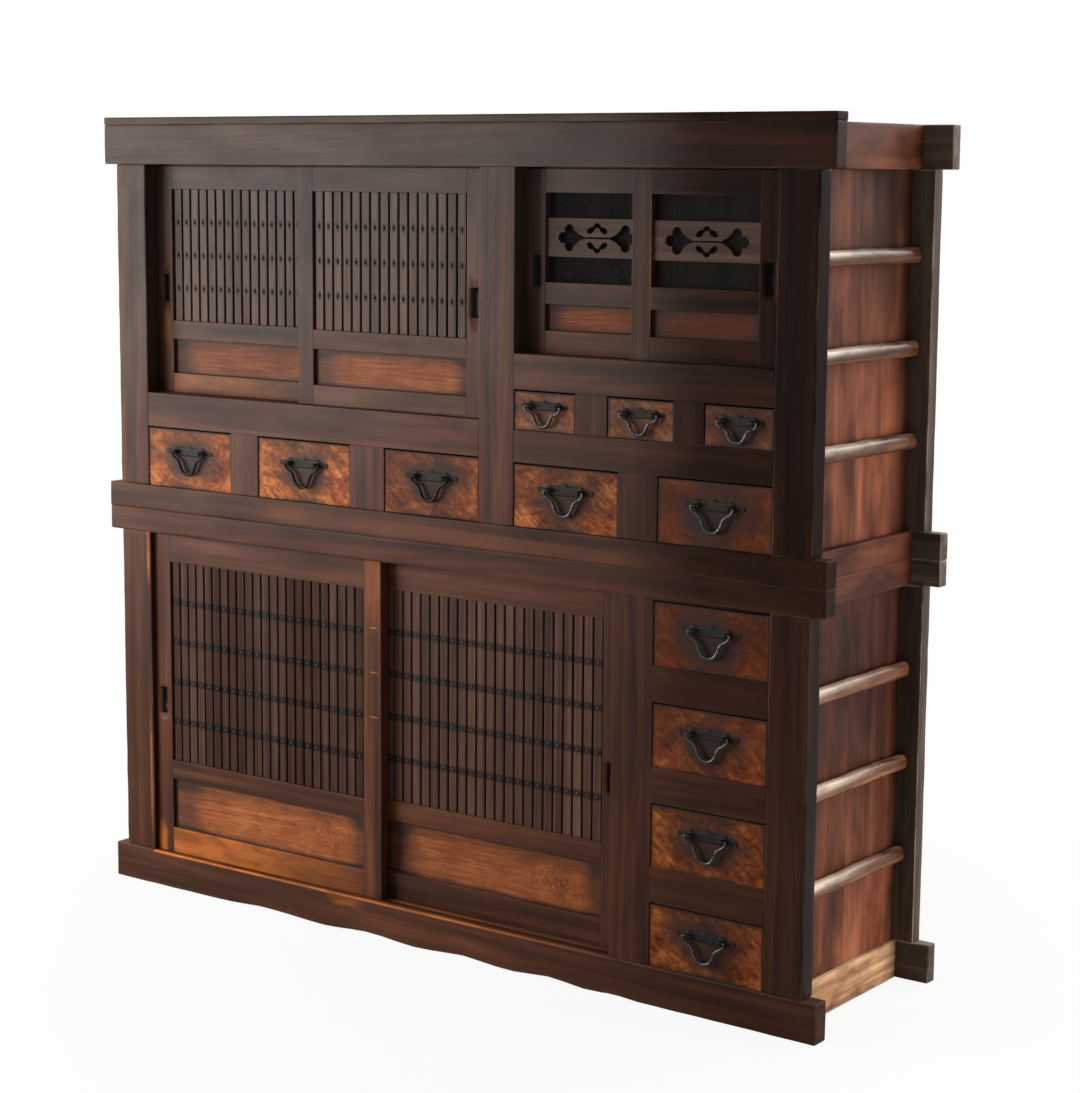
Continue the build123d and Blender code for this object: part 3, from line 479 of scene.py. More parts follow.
def lacquered(tree, shade, rough, sheen, relief):
    """The shader of the woods, as the material's surface."""
    sockets = {"Base Color": shade, "Roughness": rough, "IOR": 1.5, "Specular IOR Level": sheen}
    shader = add(tree, "BsdfPrincipled", {**sockets, "Normal": relief})
    add(tree, "OutputMaterial", {"Surface": shader.outputs[0]})


def aged_wood(
    name, dark, mid, light, worn, streak_mm, ring_mm, clouding=0.22, rubbed=0.3, roughness=0.42, gloss=0.06,
    bump=0.4, cloud_mm=(240, 90), shades=0.1, edges=None, grey_sheen=0.0,
):
    """Softwood under a thin, wiped lacquer. The eye sees: long soft streaks where the wood took the stain,
    the flowing lines of flat-sawn year rings, darker and lighter clouds, a few pale scratches, and a sheen
    that breaks up over slightly uneven planing. Edges and upper faces have rubbed through in patches. A
    positive mark is worn bare to warm wood; some positive marks are painted highlights. A negative mark
    darkens the wood towards black: real stains, and painted shade. The grey sheen setting is how far the
    colour is drawn towards a grey that paints the lacquer's sheen, rising from 1 m to 1.7 m above the floor
    and weaker where the tone is low; the real sheen of such a wood also falls where its tone is low."""
    material, tree = new_material(name)
    noise, (edge, tone, mark) = wood_coordinates(tree)
    streaks = noise(900, streak_mm, 4.0, 0.5)
    swell = noise(1300, 130, 1.5, 0.3)
    clouds = noise(*cloud_mm, 4.0, 0.4, 0.6)
    fibre = noise(160, 3.5, 3.0, 0.2)
    scratches = noise(34, 2.6, 2.0, 0.8)
    rings = maths(tree, "PINGPONG", maths(tree, "MULTIPLY_ADD", swell, 130 / ring_mm, fibre), 0.5)
    base = add(tree, "ValToRGB", {"Fac": streaks}, stops=[(0.32, dark), (0.5, mid), (0.68, light)]).outputs[0]
    lines = spread_to(tree, rings, 0.88, 1.08, 0.0, 0.5)
    cloudy = spread_to(tree, clouds, 1 - clouding, 1 + 0.5 * clouding, 0.32, 0.66)
    shade = maths(tree, "MULTIPLY", spread_to(tree, tone, 1 - shades, 1 + shades), cloudy)
    shade = maths(tree, "MULTIPLY", shade, lines)
    toned = scaled(tree, base, shade)
    up = add(tree, "SeparateXYZ", {0: add(tree, "NewGeometry").outputs["Normal"]}).outputs[2]
    rubbing = maths(tree, "MAXIMUM", edge, spread_to(tree, up, 0.0, 1.0, 0.6, 1.0))
    patchy = spread_to(tree, clouds, 0.0, 1.0, 0.38, 0.58)
    rubbing = maths(tree, "MULTIPLY", maths(tree, "MULTIPLY", rubbing, rubbed), patchy)
    rubbing = maths(tree, "MAXIMUM", rubbing, spread_to(tree, scratches, 0.0, 0.2, 0.72, 0.77), clamped=True)
    # Paints the lacquer's sheen as a grey that rises with height and is weaker where the tone is low.
    if grey_sheen:
        height = add(tree, "SeparateXYZ", {0: add(tree, "TexCoord").outputs["Object"]}).outputs[2]
        painted_sheen = scaled(tree, PAINTED_SHEEN_GREY, shade)
        risen = spread_to(tree, height, 0.0, grey_sheen, 1.0, 1.7)
        amount = maths(tree, "MULTIPLY", risen, spread_to(tree, tone, 0.1, 1.0, 0.1, 0.55))
        toned = mixed(tree, amount, toned, painted_sheen)
    aged = mixed(tree, rubbing, toned, edges or worn)
    spots = noise(90, 26, 3.0, 0.6)
    bare_places = maths(tree, "MULTIPLY", mark, spread_to(tree, spots, 0.5, 1.05, 0.36, 0.6), clamped=True)
    bare = scaled(tree, worn[:3], lines)
    aged = mixed(tree, bare_places, aged, bare)
    # Negative marks darken towards black: real stains round the nails, and painted shade in the finger pulls
    # and on the posts' right sides.
    dark_places = maths(tree, "MULTIPLY", mark, -1.0, clamped=True)
    aged = mixed(tree, dark_places, aged, STAIN_AND_PAINTED_SHADE)
    rough = spread_to(tree, clouds, roughness + 0.1, roughness - 0.1)
    relief = add(tree, "Bump", {"Height": rings, "Strength": bump, "Distance": 0.5 * MM})
    planing = {"Height": clouds, "Strength": 0.4, "Distance": 2 * MM, "Normal": relief.outputs[0]}
    relief = add(tree, "Bump", planing).outputs[0]
    sheen = spread_to(tree, tone, 0.35 * gloss, gloss, 0.0, 0.35) if grey_sheen else gloss
    lacquered(tree, aged, rough, sheen, relief)
    return material


def figured_zelkova(name, dark, mid, light, curl_mm, curled, flame, clouding=0.13, grimy=0.28, gloss=0.05):
    """Zelkova with burl figure under clear lacquer. The eye sees fine drawn-out grain that gives way to soft
    curls where the burl is, short flames of gold across them, and clouds of deeper red. curled is how much
    burl the whole board has; the finish's edge adds more in places. A board of a low tone is redder and
    plainer. It is darkened towards grime where the finish's mark is negative: real grime round the pull, and
    painted shade towards the rim and along the edges and ends that lie in shade. It is cleaner where the mark
    is positive."""
    material, tree = new_material(name)
    noise, (burl, tone, mark) = wood_coordinates(tree)
    curls = noise(curl_mm * 1.2, curl_mm, 1.5, 2.2, 0.45)
    flames = noise(curl_mm * 3.5, curl_mm * 0.6, 1.5, 1.4, 0.45, turn=math.radians(38))
    fine = noise(110, 3.2, 3.0, 0.8)
    broad = noise(180, 9, 2.0, 1.2)
    clouds = noise(80, 50, 2.0, 0.9)
    grain = maths(tree, "MULTIPLY_ADD", fine, 0.65, maths(tree, "MULTIPLY", broad, 0.35))
    burled = maths(tree, "MULTIPLY_ADD", flames, flame, maths(tree, "MULTIPLY", curls, 1 - flame))
    amount = maths(tree, "ADD", burl, curled, clamped=True)
    figure = add(tree, "Mix", {0: amount, 2: grain, 3: burled}, data_type="FLOAT").outputs[0]
    figure = maths(tree, "ADD", figure, spread_to(tree, tone, -0.1, 0.0))
    figure = maths(tree, "ADD", figure, spread_to(tree, clouds, -clouding, clouding, 0.34, 0.66))
    base = add(tree, "ValToRGB", {"Fac": figure}, stops=[(0.26, dark), (0.5, mid), (0.74, light)]).outputs[0]
    reddened = spread_to(tree, tone, 0.6, 0.0, 0.0, 0.75)
    base = mixed(tree, reddened, base, RED_LACQUER)
    shade = maths(tree, "MULTIPLY", spread_to(tree, tone, 0.34, 0.86), spread_to(tree, mark, 1.0, 1.35))
    toned = scaled(tree, base, shade)
    # Grime in clouds, deepened by a negative mark: real grime round the pull, and painted shade at rims,
    # edges and ends.
    grime_and_shade = maths(tree, "SUBTRACT", spread_to(tree, noise(70, 70, 2.5, 0.8), -grimy, grimy, 0.36, 0.64), mark)
    grime_and_shade = spread_to(tree, grime_and_shade, 0.0, 0.92, 0.0, 1.0)
    stained = mixed(tree, grime_and_shade, toned, GRIME_AND_PAINTED_SHADE)
    relief = add(tree, "Bump", {"Height": figure, "Strength": 0.25, "Distance": 0.5 * MM}).outputs[0]
    rough = spread_to(tree, curls, 0.34, 0.52)
    lacquered(tree, stained, rough, gloss, relief)
    return material


def forged_iron(name, shade, roughness=0.42, metallic=0.8):
    """Forged iron: dull and dark, with hammer marks of a few millimetres that catch the light, and brown
    rust in the hollows."""
    material, tree = new_material(name)
    place = add(tree, "TexCoord").outputs["Object"]
    dents = {"Vector": place, "Scale": 240.0, "Detail": 3.0, "Roughness": 0.6}
    hammer = add(tree, "TexNoise", dents).outputs["Fac"]
    rust = add(tree, "ValToRGB", {"Fac": hammer}, stops=[(0.35, RUST), (0.55, shade)]).outputs[0]
    relief = add(tree, "Bump", {"Height": hammer, "Strength": 0.6, "Distance": 0.6 * MM}).outputs[0]
    rough = spread_to(tree, hammer, roughness - 0.12, roughness + 0.2)
    sockets = {"Base Color": rust, "Metallic": metallic, "Roughness": rough, "Normal": relief}
    shader = add(tree, "BsdfPrincipled", sockets)
    add(tree, "OutputMaterial", {"Surface": shader.outputs[0]})
    return material


def finishes():
    """The cabinet's materials, made once and then found by name."""
    scene = bpy.context.scene
    timber, doors, pulls = scene.mizuya_timber, scene.mizuya_doors, scene.mizuya_pulls
    known = bpy.data.materials
    if "lacquered_cypress" in known:
        return known
    lacquer = [tuple(c) for c in (timber.lacquer_dark, timber.lacquer_mid, timber.lacquer_light, timber.worn)]
    aged_wood(
        "lacquered_cypress", *lacquer, streak_mm=34, ring_mm=11, shades=0.7,
        edges=tuple(timber.edges), grey_sheen=0.6,
    )
    aged_wood(
        "carved_cypress", *linears("#35231c", "#4a332a", "#5a4236", "#8c6a52"),
        streak_mm=20, ring_mm=9, rubbed=0.5, shades=0.3, grey_sheen=0.35,
    )
    aged_wood(
        "rubbed_cypress", *linears("#805839", "#c4936a", "#e8c198", "#f0d6b8"),
        streak_mm=30, ring_mm=9, clouding=0.6, roughness=0.5, cloud_mm=(90, 40),
    )
    aged_wood(
        "cedar_side_board", *linears("#4a271a", "#6c3b26", "#7f4a32", "#94664a"),
        streak_mm=60, ring_mm=12, clouding=0.6, rubbed=0.4, roughness=0.5, gloss=0.08, cloud_mm=(200, 75),
        shades=0.6,
    )
    # The rungs' near-white worn colour is wood rubbed bare and a painted highlight.
    aged_wood(
        "handled_rung", *linears("#4a2b1a", "#6f432a", "#8c5a3a", "#e6d2ba"),
        streak_mm=14, ring_mm=8, clouding=0.5, rubbed=0.25, roughness=0.32, gloss=0.12, bump=0.8,
        cloud_mm=(70, 25), shades=0.5,
    )
    # Inner boards painted darker than the bare cedar: painted shade inside the cabinet.
    aged_wood(
        "smoked_cedar", *linears("#2a1f17", "#3b2d21", "#4a3929", "#665240"),
        streak_mm=40, ring_mm=9, clouding=0.4, roughness=0.62, gloss=0.1,
    )
    aged_wood(
        "bare_cedar", *linears("#5d4632", "#7c6148", "#927354", "#a98a68"),
        streak_mm=40, ring_mm=9, clouding=0.4, roughness=0.62, gloss=0.1, shades=0.28,
    )
    aged_wood(
        "greyed_slat", linear("#34221b"), tuple(doors.slats), *linears("#553b2e", "#65503f"),
        streak_mm=12, ring_mm=6, clouding=0.25, rubbed=0.3, roughness=0.45, shades=0.4, grey_sheen=0.7,
    )
    figured_zelkova(
        "burl_zelkova", *linears("#43200f", "#8c4720", "#c67a3c"), curl_mm=24, curled=1.0, flame=0.45
    )
    figured_zelkova(
        "smoked_zelkova", *linears("#4c2d1e", "#854f33", "#ae7650"),
        curl_mm=24, curled=1.0, flame=0.45, clouding=0.1,
    )
    figured_zelkova(
        "panel_zelkova", *linears("#5e2f18", "#8c4e2c", "#ad6f40"),
        curl_mm=10, curled=0.0, flame=0.25, clouding=0.06, grimy=0.12,
    )
    forged_iron("forged_iron", tuple(pulls.iron), roughness=0.52, metallic=0.9)
    # A lighter, glossier copy of the iron for bails that catch the light: its lighter colour is painted
    # light.
    forged_iron("handled_iron", linear("#3e4041"), roughness=0.2, metallic=0.95)
    # A lighter, greyer copy of the frame's wood for the timbers at the back: painted light, and its pale worn
    # colour on the edges paints highlights.
    aged_wood(
        "dusty_cypress", *linears("#42352b", "#594a3f", "#6f5e52", "#b8ab9e"),
        streak_mm=34, ring_mm=11, rubbed=0.8, roughness=0.5,
    )
    forged_iron("black_wire", linear("#343432"), roughness=0.4)
    forged_iron("nail_iron", linear("#262b2b"), roughness=0.4, metallic=0.5)
    forged_iron("smoked_nail_iron", linear("#0f0f10"), roughness=0.6, metallic=1.0)
    return known


# ---- carcass ---------------------------------------------------------------------------------------------
def door_openings():
    """For each pair of doors: the span of its opening, and each door's middle and heights."""
    gap = bpy.context.scene.mizuya_doors.side_gap
    found = {}
    for cupboard in ("upper_left", "upper_right", "lower_left"):
        boxes = [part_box(f"{cupboard}_door_{hand}") for hand in ("left", "right")]
        span = (boxes[0][0][X] - gap, boxes[1][1][X] + gap)
        middles = [(low[Y] + high[Y]) / 2 for low, high in boxes]
        found[cupboard] = (span, middles, boxes[0][0][Z], boxes[0][1][Z])
    return found


def grooves_in(low, high):
    """The door grooves that a timber's box carries, as recesses of its upper or lower face."""
    doors = bpy.context.scene.mizuya_doors
    found = []
    for span, middles, foot, head in door_openings().values():
        for middle in middles:
            if not (low[Y] < middle < high[Y]):
                continue
            across = (middle - doors.groove / 2, middle + doors.groove / 2)
            along = (max(span[0], low[X] + 4 * MM), min(span[1], high[X] - 4 * MM))
            if along[1] - along[0] < 0.2:
                continue
            if abs(high[Z] - (foot + doors.tongue_foot)) < 2 * MM:
                found.append((Z, 1, along, across, doors.foot_groove, 0.0))
            if abs(low[Z] - (head - doors.tongue_head)) < 5 * MM:
                found.append((Z, -1, along, across, doors.head_groove, 0.0))
    return found


def sill_wave(node):
    """The height of the sill's worn lower edge along x, read from the lowest points of the CAD solid."""
    low, _, span = solids(node)[0]
    points = solid_copy(node, span)[0]
    foot = points[(points[:, Z] < 12 * MM) & (points[:, Y] < low[Y] + 1 * MM)]
    foot = foot[np.argsort(foot[:, X])]
    return lambda x: np.interp(x, foot[:, X], foot[:, Z])


# A place is a rubbed spot on a face: its middle along x and z, half its width and height, and its mark.
def carcass_wear():
    """The rubbed places of the carcass, all round the lower doorway: the left post's inner edge near its
    head and over its lower half, the beam above the doorway a third of the way along, and the sill before
    the stiles that meet."""
    (left, right), _, foot, head = door_openings()["lower_left"]
    meeting_stile = solids("lower_left_door_left")[1][0][X]
    beam_low, beam_high, _ = solids("upper_frame_beams")[2]
    post_edge = left - 7 * MM
    return (
        (post_edge, head - 50 * MM, 5 * MM, 90 * MM, 0.5),
        (post_edge, foot + (head - foot) / 4, 5 * MM, 200 * MM, 0.35),
        (left + (right - left) / 3, (beam_low[Z] + beam_high[Z]) / 2, 90 * MM, 26 * MM, 0.1),
        (meeting_stile - 40 * MM, foot - 10 * MM, 60 * MM, 16 * MM, 0.35),
    )


def door_wear():
    """The rubbed places of the doors: on the lower left door the head of the stile that meets the other
    door, three level scratches an even step apart below it, and the foot of the outer stile; and on the
    upper left door the outer stile below its finger pull."""
    doors = bpy.context.scene.mizuya_doors
    _, _, foot, head = door_openings()["lower_left"]
    (left, _, _), (right, _, _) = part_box("lower_left_door_left")
    meeting = right - 20 * MM
    step = 97 * MM
    scratches = [
        (meeting, head - (1.6 + number) * step, 14 * MM, 2 * MM, mark)
        for number, mark in enumerate((0.9, 0.9, 0.7))
    ]
    outer_low, outer_high, _ = solids("upper_left_door_left")[0]
    pull = outer_low[Z] + doors.tongue_foot + FINGER_PULL_RISE["upper_left"]
    return (
        (meeting, head - 60 * MM, 30 * MM, 120 * MM, 0.3),
        *scratches,
        (left + 8 * MM, foot + 25 * MM, 24 * MM, 60 * MM, 0.8),
        ((outer_low[X] + outer_high[X]) / 2, pull - 85 * MM, 16 * MM, 60 * MM, 0.25),
    )


def rubbed_in(low, high, places):
    """The places whose middle lies on a timber's front, as recesses without depth of its front face."""
    found = []
    for x, z, across, along, mark in places:
        if low[X] < x < high[X] and low[Z] < z < high[Z]:
            found.append((Y, -1, (x - across, x + across), (z - along, z + along), 0, mark))
    return found


def worn_rung(low, high, seed):
    """A worn round rung: rings along y, whose section is an ellipse with slightly flattened sides, drawn in
    and out by slow unevenness. Its ends are rounded over the last few millimetres as quarter ellipses. Its
    tone falls with height, as painted shade on the rungs high up. It is light on top towards the front: wood
    rubbed bare, and a painted highlight."""
    wear = bpy.context.scene.mizuya_timber.rung_wear
    middle, half = (low + high) / 2, (high - low) / 2
    round_end, bend = 7 * MM, np.linspace(0, math.pi / 2, 5)
    flatness, end_size = 2.6, 0.35
    inward, growing = round_end * (1 - np.cos(bend)), end_size + (1 - end_size) * np.sin(bend)
    run = np.linspace(-half[Y] + round_end, half[Y] - round_end, 14)[1:-1]
    place = np.concatenate([inward - half[Y], run, half[Y] - inward[::-1]])
    size = np.concatenate([growing, np.ones(len(run)), growing[::-1]])
    turn = np.arange(20) / 20 * 2 * math.pi
    section = np.stack([np.cos(turn), np.sin(turn)], axis=1)
    section = section / (np.abs(section) ** flatness).sum(1)[:, None] ** (1 / flatness)
    rings = np.empty((len(place), len(turn), 3))
    rings[..., Y] = place[:, None]
    rings[..., X], rings[..., Z] = section[None, :, 0], section[None, :, 1]
    dent = 1 - wear / half[X] * unevenness(rings * (0.015, 1, 0.015) + middle, seed, 9.0)
    rings[..., X] *= (half[X] * size)[:, None] * dent
    rings[..., Z] *= (half[Z] * size)[:, None] * dent
    points, faces, _, finish = loft(rings + middle)
    grain = points[:, [Y, Z, X]] + np.random.default_rng(seed).uniform(0, 20, 3)
    # The tone falls with height: painted shade on the rungs high up.
    heights, tones = (0.7, 1.1, 1.5), (0.6, 0.55, 0.0)
    finish[:, 1] = np.interp(middle[Z], heights, tones)
    # Light on top towards the front: wood rubbed bare, and a painted highlight.
    front = np.clip(1 - (points[:, Y] - low[Y]) / (0.7 * (high[Y] - low[Y])), 0, 1)
    bare_and_highlight_on_top = 1.8
    finish[:, 2] = bare_and_highlight_on_top * front * np.clip((points[:, Z] - middle[Z]) / half[Z] + 0.1, 0, 1)
    return surface(points, faces, grain, finish)


# The lacquer's tone over the front, which paints light and shade on it: an even level, how much of each
# board's own shade is kept, the rise of a bell curve round a place along x, which paints a sheen round the
# middle, and the fall of a slope towards the right end, which paints shade there. Places and reaches are
# in metres.
EVEN_TONE, OWN_SHADE = 0.46, 0.2
PAINTED_SHEEN_MIDDLE, MIDDLE_PLACE, MIDDLE_REACH = 0.22, 0.05, 0.3
PAINTED_SHADE_RIGHT, SLOPE_START, SLOPE_LENGTH = 0.42, 0.45, 0.2
# The slope's fall is half as deep up to the first of these heights, and full from the second.
SLOPE_HEIGHTS = (0.3, 0.95)


def painted_light_over_front(shape):
    """Paints light and shade into the lacquer's tone over the front: a painted sheen round the middle and
    painted shade towards the right end. Timbers at the back keep theirs.
    """
    points, _, _, finish = shape
    front = points[:, Y] < 0
    x, z = points[front, X], points[front, Z]
    lighter = PAINTED_SHEEN_MIDDLE * np.exp(-(((x - MIDDLE_PLACE) / MIDDLE_REACH) ** 2))
    risen = np.clip((z - SLOPE_HEIGHTS[0]) / (SLOPE_HEIGHTS[1] - SLOPE_HEIGHTS[0]), 0, 1)
    darker = PAINTED_SHADE_RIGHT * np.clip((x - SLOPE_START) / SLOPE_LENGTH, 0, 1) * (0.5 + 0.5 * risen)
    finish[front, 1] = np.clip((finish[front, 1] - 0.5) * OWN_SHADE + EVEN_TONE + lighter - darker, 0, 1)
    return shape


# How the side boards' tone rises with the distance from their head, which paints shade under the beams
# above them: a factor and a power. SIDE_SHADE is how much of each board's own shade is kept.
SIDE_PAINTED_SHADE = {"upper": (1.5, 1.0), "lower": (1.2, 2.0)}
SIDE_SHADE = 0.3


def painted_shade_under_beams(shape, foot, head, fading):
    """Paints shade on the side boards: they are darkest under the beams above them, which shade them, and
    lighter towards their feet. The tone is a power of the distance from the head, as a share of the height."""
    points, _, _, finish = shape
    factor, power = fading
    depth = np.clip((head - points[:, Z]) / (head - foot), 0, 1)
    finish[:, 1] = np.clip((finish[:, 1] - 0.5) * SIDE_SHADE + factor * depth**power, 0, 1)
    return shape


def trodden(sill, low, high):
    """Marks the sill's upper face as rubbed along the lower doorway: most at its left, and along its front
    edge."""
    points, _, _, finish = sill
    left, right = door_openings()["lower_left"][0]
    on_top = (points[:, Z] > high[Z] - 4 * MM) & (points[:, X] > left) & (points[:, X] < right)
    fading = np.interp(points[on_top, X], (left, 0.0, right), (1.1, 0.9, 0.1))
    finish[on_top, 2] = np.where(points[on_top, Y] < low[Y] + 4 * MM, fading, 0.3 * fading)


# The carcass's nodes by the setting that rounds their edges, their material and their slot.
CARCASS_NODES = {
    ("beam_ease", "lacquered_cypress", "frame_wood"): (
        "upper_frame_beams", "lower_frame_beams", "top_cap_strip", "upper_corner_posts", "lower_corner_posts",
    ),
    ("joinery_ease", "lacquered_cypress", "frame_wood"): (
        "upper_face_frame", "lower_face_frame", "upper_door_tracks", "lower_door_tracks",
    ),
    ("joinery_ease", "cedar_side_board", "side_board_wood"): ("upper_side_boards", "lower_side_boards"),
    ("joinery_ease", "bare_cedar", "inner_wood"): ("upper_back_and_top_boards", "lower_back_boards"),
    # The inner boards take the darker cedar: painted shade.
    ("joinery_ease", "smoked_cedar", "inner_wood"): ("upper_inner_boards", "lower_inner_boards"),
}
# Woods that some timbers of a lacquered node have instead: the lower side beams, the other side beams, and
# the back. The back's wood is a lighter copy of the frame's, painted light on timbers that stand in shade,
# with pale rubbed edges that are painted highlights.
OTHER_WOODS = ("rubbed_cypress", "cedar_side_board", "dusty_cypress")
SIDE_BEAM_TONE = 0.3
# A post's edges are rubbed more than other edges: partly wear, and partly a painted highlight along its
# corners.
POST_EDGE_WEAR_AND_HIGHLIGHT = 2.5  # how much more a post's edges are rubbed than other edges
# The right side of each post is painted darker: painted shade.
POST_SIDE_PAINTED_SHADE = 0.3  # the mark taken off the right side of a post


def carcass_timber(node, number, low, high, material, ease, places):
    """One timber of the carcass: its wood and its shape. Uprights end at their shoulders, without their
    tenons."""
    timber = bpy.context.scene.mizuya_timber
    is_post, is_mullion = "posts" in node, "face_frame" in node and number == 0
    if is_post or is_mullion:
        low[Z], high[Z] = low[Z] + timber.tenon, high[Z] - timber.tenon
    is_sill = node == "lower_frame_beams" and number == 0
    is_base = node == "lower_frame_beams" and number in (4, 5)
    is_side_beam = "frame_beams" in node and number > 3 and not is_base
    shape = board(
        low, high, ease, seed_of(node, number), timber.grid_step,
        recesses=grooves_in(low, high) + rubbed_in(low, high, places),
        wave=sill_wave(node) if is_sill else None, tone=SIDE_BEAM_TONE if is_side_beam else None,
    )
    if is_post:
        points, _, _, finish = shape
        # Edges rubbed more: partly wear, and partly a painted highlight.
        finish[:, 0] *= POST_EDGE_WEAR_AND_HIGHLIGHT
        # Painted shade on the post's right side.
        finish[points[:, X] > high[X] - 1 * MM, 2] -= POST_SIDE_PAINTED_SHADE
    if is_sill:
        trodden(shape, low, high)
    if is_base:
        return "rubbed_cypress", shape
    if is_side_beam:
        return "cedar_side_board", shape
    # Timbers at the back take the lighter copy of the frame's wood: painted light.
    at_back = material == "lacquered_cypress" and low[Y] > 0.1
    return "dusty_cypress" if at_back else material, shape


class MizuyaCarcass(bpy.types.Operator):
    """Beams, posts, rails, boards and rungs of both chests"""

    bl_idname = "mizuya.carcass"
    bl_label = "Carcass"

    def execute(self, context):
        timber, found, places = context.scene.mizuya_timber, finishes(), carcass_wear()
        for (setting, material, slot), nodes in CARCASS_NODES.items():
            ease = getattr(timber, setting)
            for node in nodes:
                woods = {material: [], **{wood: [] for wood in OTHER_WOODS}}
                for number, (low, high, _) in enumerate(solids(node)):
                    wood, shape = carcass_timber(node, number, low, high, material, ease, places)
                    woods[wood].append(shape)
                whole = joined(woods.pop(material))
                # The lacquer of the front gets its painted sheen and painted shade.
                if material == "lacquered_cypress":
                    whole = painted_light_over_front(whole)
                # Side boards get painted shade under the beams.
                if material == "cedar_side_board":
                    (_, _, foot), (_, _, head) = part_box(node)
                    whole = painted_shade_under_beams(whole, foot, head, SIDE_PAINTED_SHADE[node.split("_")[0]])
                make_piece(f"{node}_timber", "carcass", found[material], whole, [node])
                for wood, shapes in woods.items():
                    if shapes:
                        make_piece(f"{node}_{wood}", "carcass", found[wood], joined(shapes), [node])
        rungs = [
            worn_rung(low, high, seed_of("side_rungs", number))
            for number, (low, high, _) in enumerate(solids("side_rungs"))
        ]
        make_piece(
            "side_rungs_timber", "carcass", found["handled_rung"], joined(rungs), ["side_rungs"]
        )
        return {"FINISHED"}


# ---- doors -----------------------------------------------------------------------------------------------
# For each door: the tone of its panel, how far its foot rail is rubbed or, below zero, darkened, and the tone
# of its slats where it has slats.
DOORS = {
    ("upper_left", "left"): {"panel": 0.42, "foot_rail": 0.3, "slats": 0.6},
    ("upper_left", "right"): {"panel": 0.78, "foot_rail": 0.0, "slats": 0.9},
    ("upper_right", "left"): {"panel": 0.45, "foot_rail": 0.1},
    ("upper_right", "right"): {"panel": 0.0, "foot_rail": 0.0},
    ("lower_left", "left"): {"panel": 1.0, "foot_rail": 0.7, "slats": 0.08},
    ("lower_left", "right"): {"panel": 0.85, "foot_rail": -0.35, "slats": 0.55},
}
FINGER_PULL_RISE = {"upper_left": 234 * MM, "upper_right": 165 * MM, "lower_left": 354 * MM}
# The order of a door's members, and the number of its panel among the node's solids.
LEFT_STILE, RIGHT_STILE, FOOT_RAIL = 0, 1, 2
MEMBERS, PANEL = 5, 5


def member_recesses(cupboard, hand, number, low, high, foot, head):
    """What is sunk into, rubbed off or painted on one member of a door: the finger pull in the outer stile,
    painted black inside as shade; the places of door_wear; a painted highlight down the inner edge of the
    stile where the upper right door meets the other; and the foot rail, rubbed most at its left."""
    doors = bpy.context.scene.mizuya_doors
    recesses = []
    if number == (LEFT_STILE if hand == "left" else RIGHT_STILE):
        x, z = (low[X] + high[X]) / 2, foot + FINGER_PULL_RISE[cupboard]
        across = (x - doors.pull_width / 2, x + doors.pull_width / 2)
        along = (z - doors.pull_height / 2, z + doors.pull_height / 2)
        # The finger pull's recess is painted black inside: painted shade.
        recesses.append((Y, -1, across, along, doors.pull_depth, -1.0))
    recesses += rubbed_in(low, high, door_wear())
    # A painted highlight along the inner edge of this stile.
    if number == LEFT_STILE and (cupboard, hand) == ("upper_right", "right"):
        across = (high[X] - 3 * MM, high[X] + 3 * MM)
        recesses.append((Y, -1, across, (foot + 20 * MM, head - 20 * MM), 0, 0.5))
    if number == FOOT_RAIL:
        reach, rise = 1.1 * (high[X] - low[X]), high[Z] - low[Z]
        along = (low[X] - reach, low[X] + reach)
        wear = DOORS[cupboard, hand]["foot_rail"]
        recesses.append((Y, -1, along, (low[Z] - rise, high[Z] + rise), 0, wear))
    return recesses


def door_members(node, cupboard, hand):
    """The worn frame of a door, as boards: each member is trimmed to the door's body, and gets its tongues
    as thin boards of their own."""
    scene = bpy.context.scene
    timber, doors = scene.mizuya_timber, scene.mizuya_doors
    low_all, high_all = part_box(node)
    foot, head = low_all[Z] + doors.tongue_foot, high_all[Z] - doors.tongue_head
    boards = []
    for number, (low, high, _) in enumerate(solids(node)[:MEMBERS]):
        body_low, body_high = low.copy(), high.copy()
        body_low[Z], body_high[Z] = max(low[Z], foot), min(high[Z], head)
        recesses = member_recesses(cupboard, hand, number, body_low, body_high, foot, head)
        seed = seed_of(node, number)
        boards.append(board(body_low, body_high, timber.joinery_ease, seed, timber.grid_step, recesses))
        middle = (low[Y] + high[Y]) / 2
        for start, end in ((low[Z], body_low[Z]), (body_high[Z], high[Z])):
            if end - start > 1 * MM:
                tongue_low = (low[X], middle - doors.tongue / 2, start)
                tongue_high = (high[X], middle + doors.tongue / 2, end)
                boards.append(board(tongue_low, tongue_high, 0.5 * MM, seed_of(node, number + 50), 0.2))
    return boards


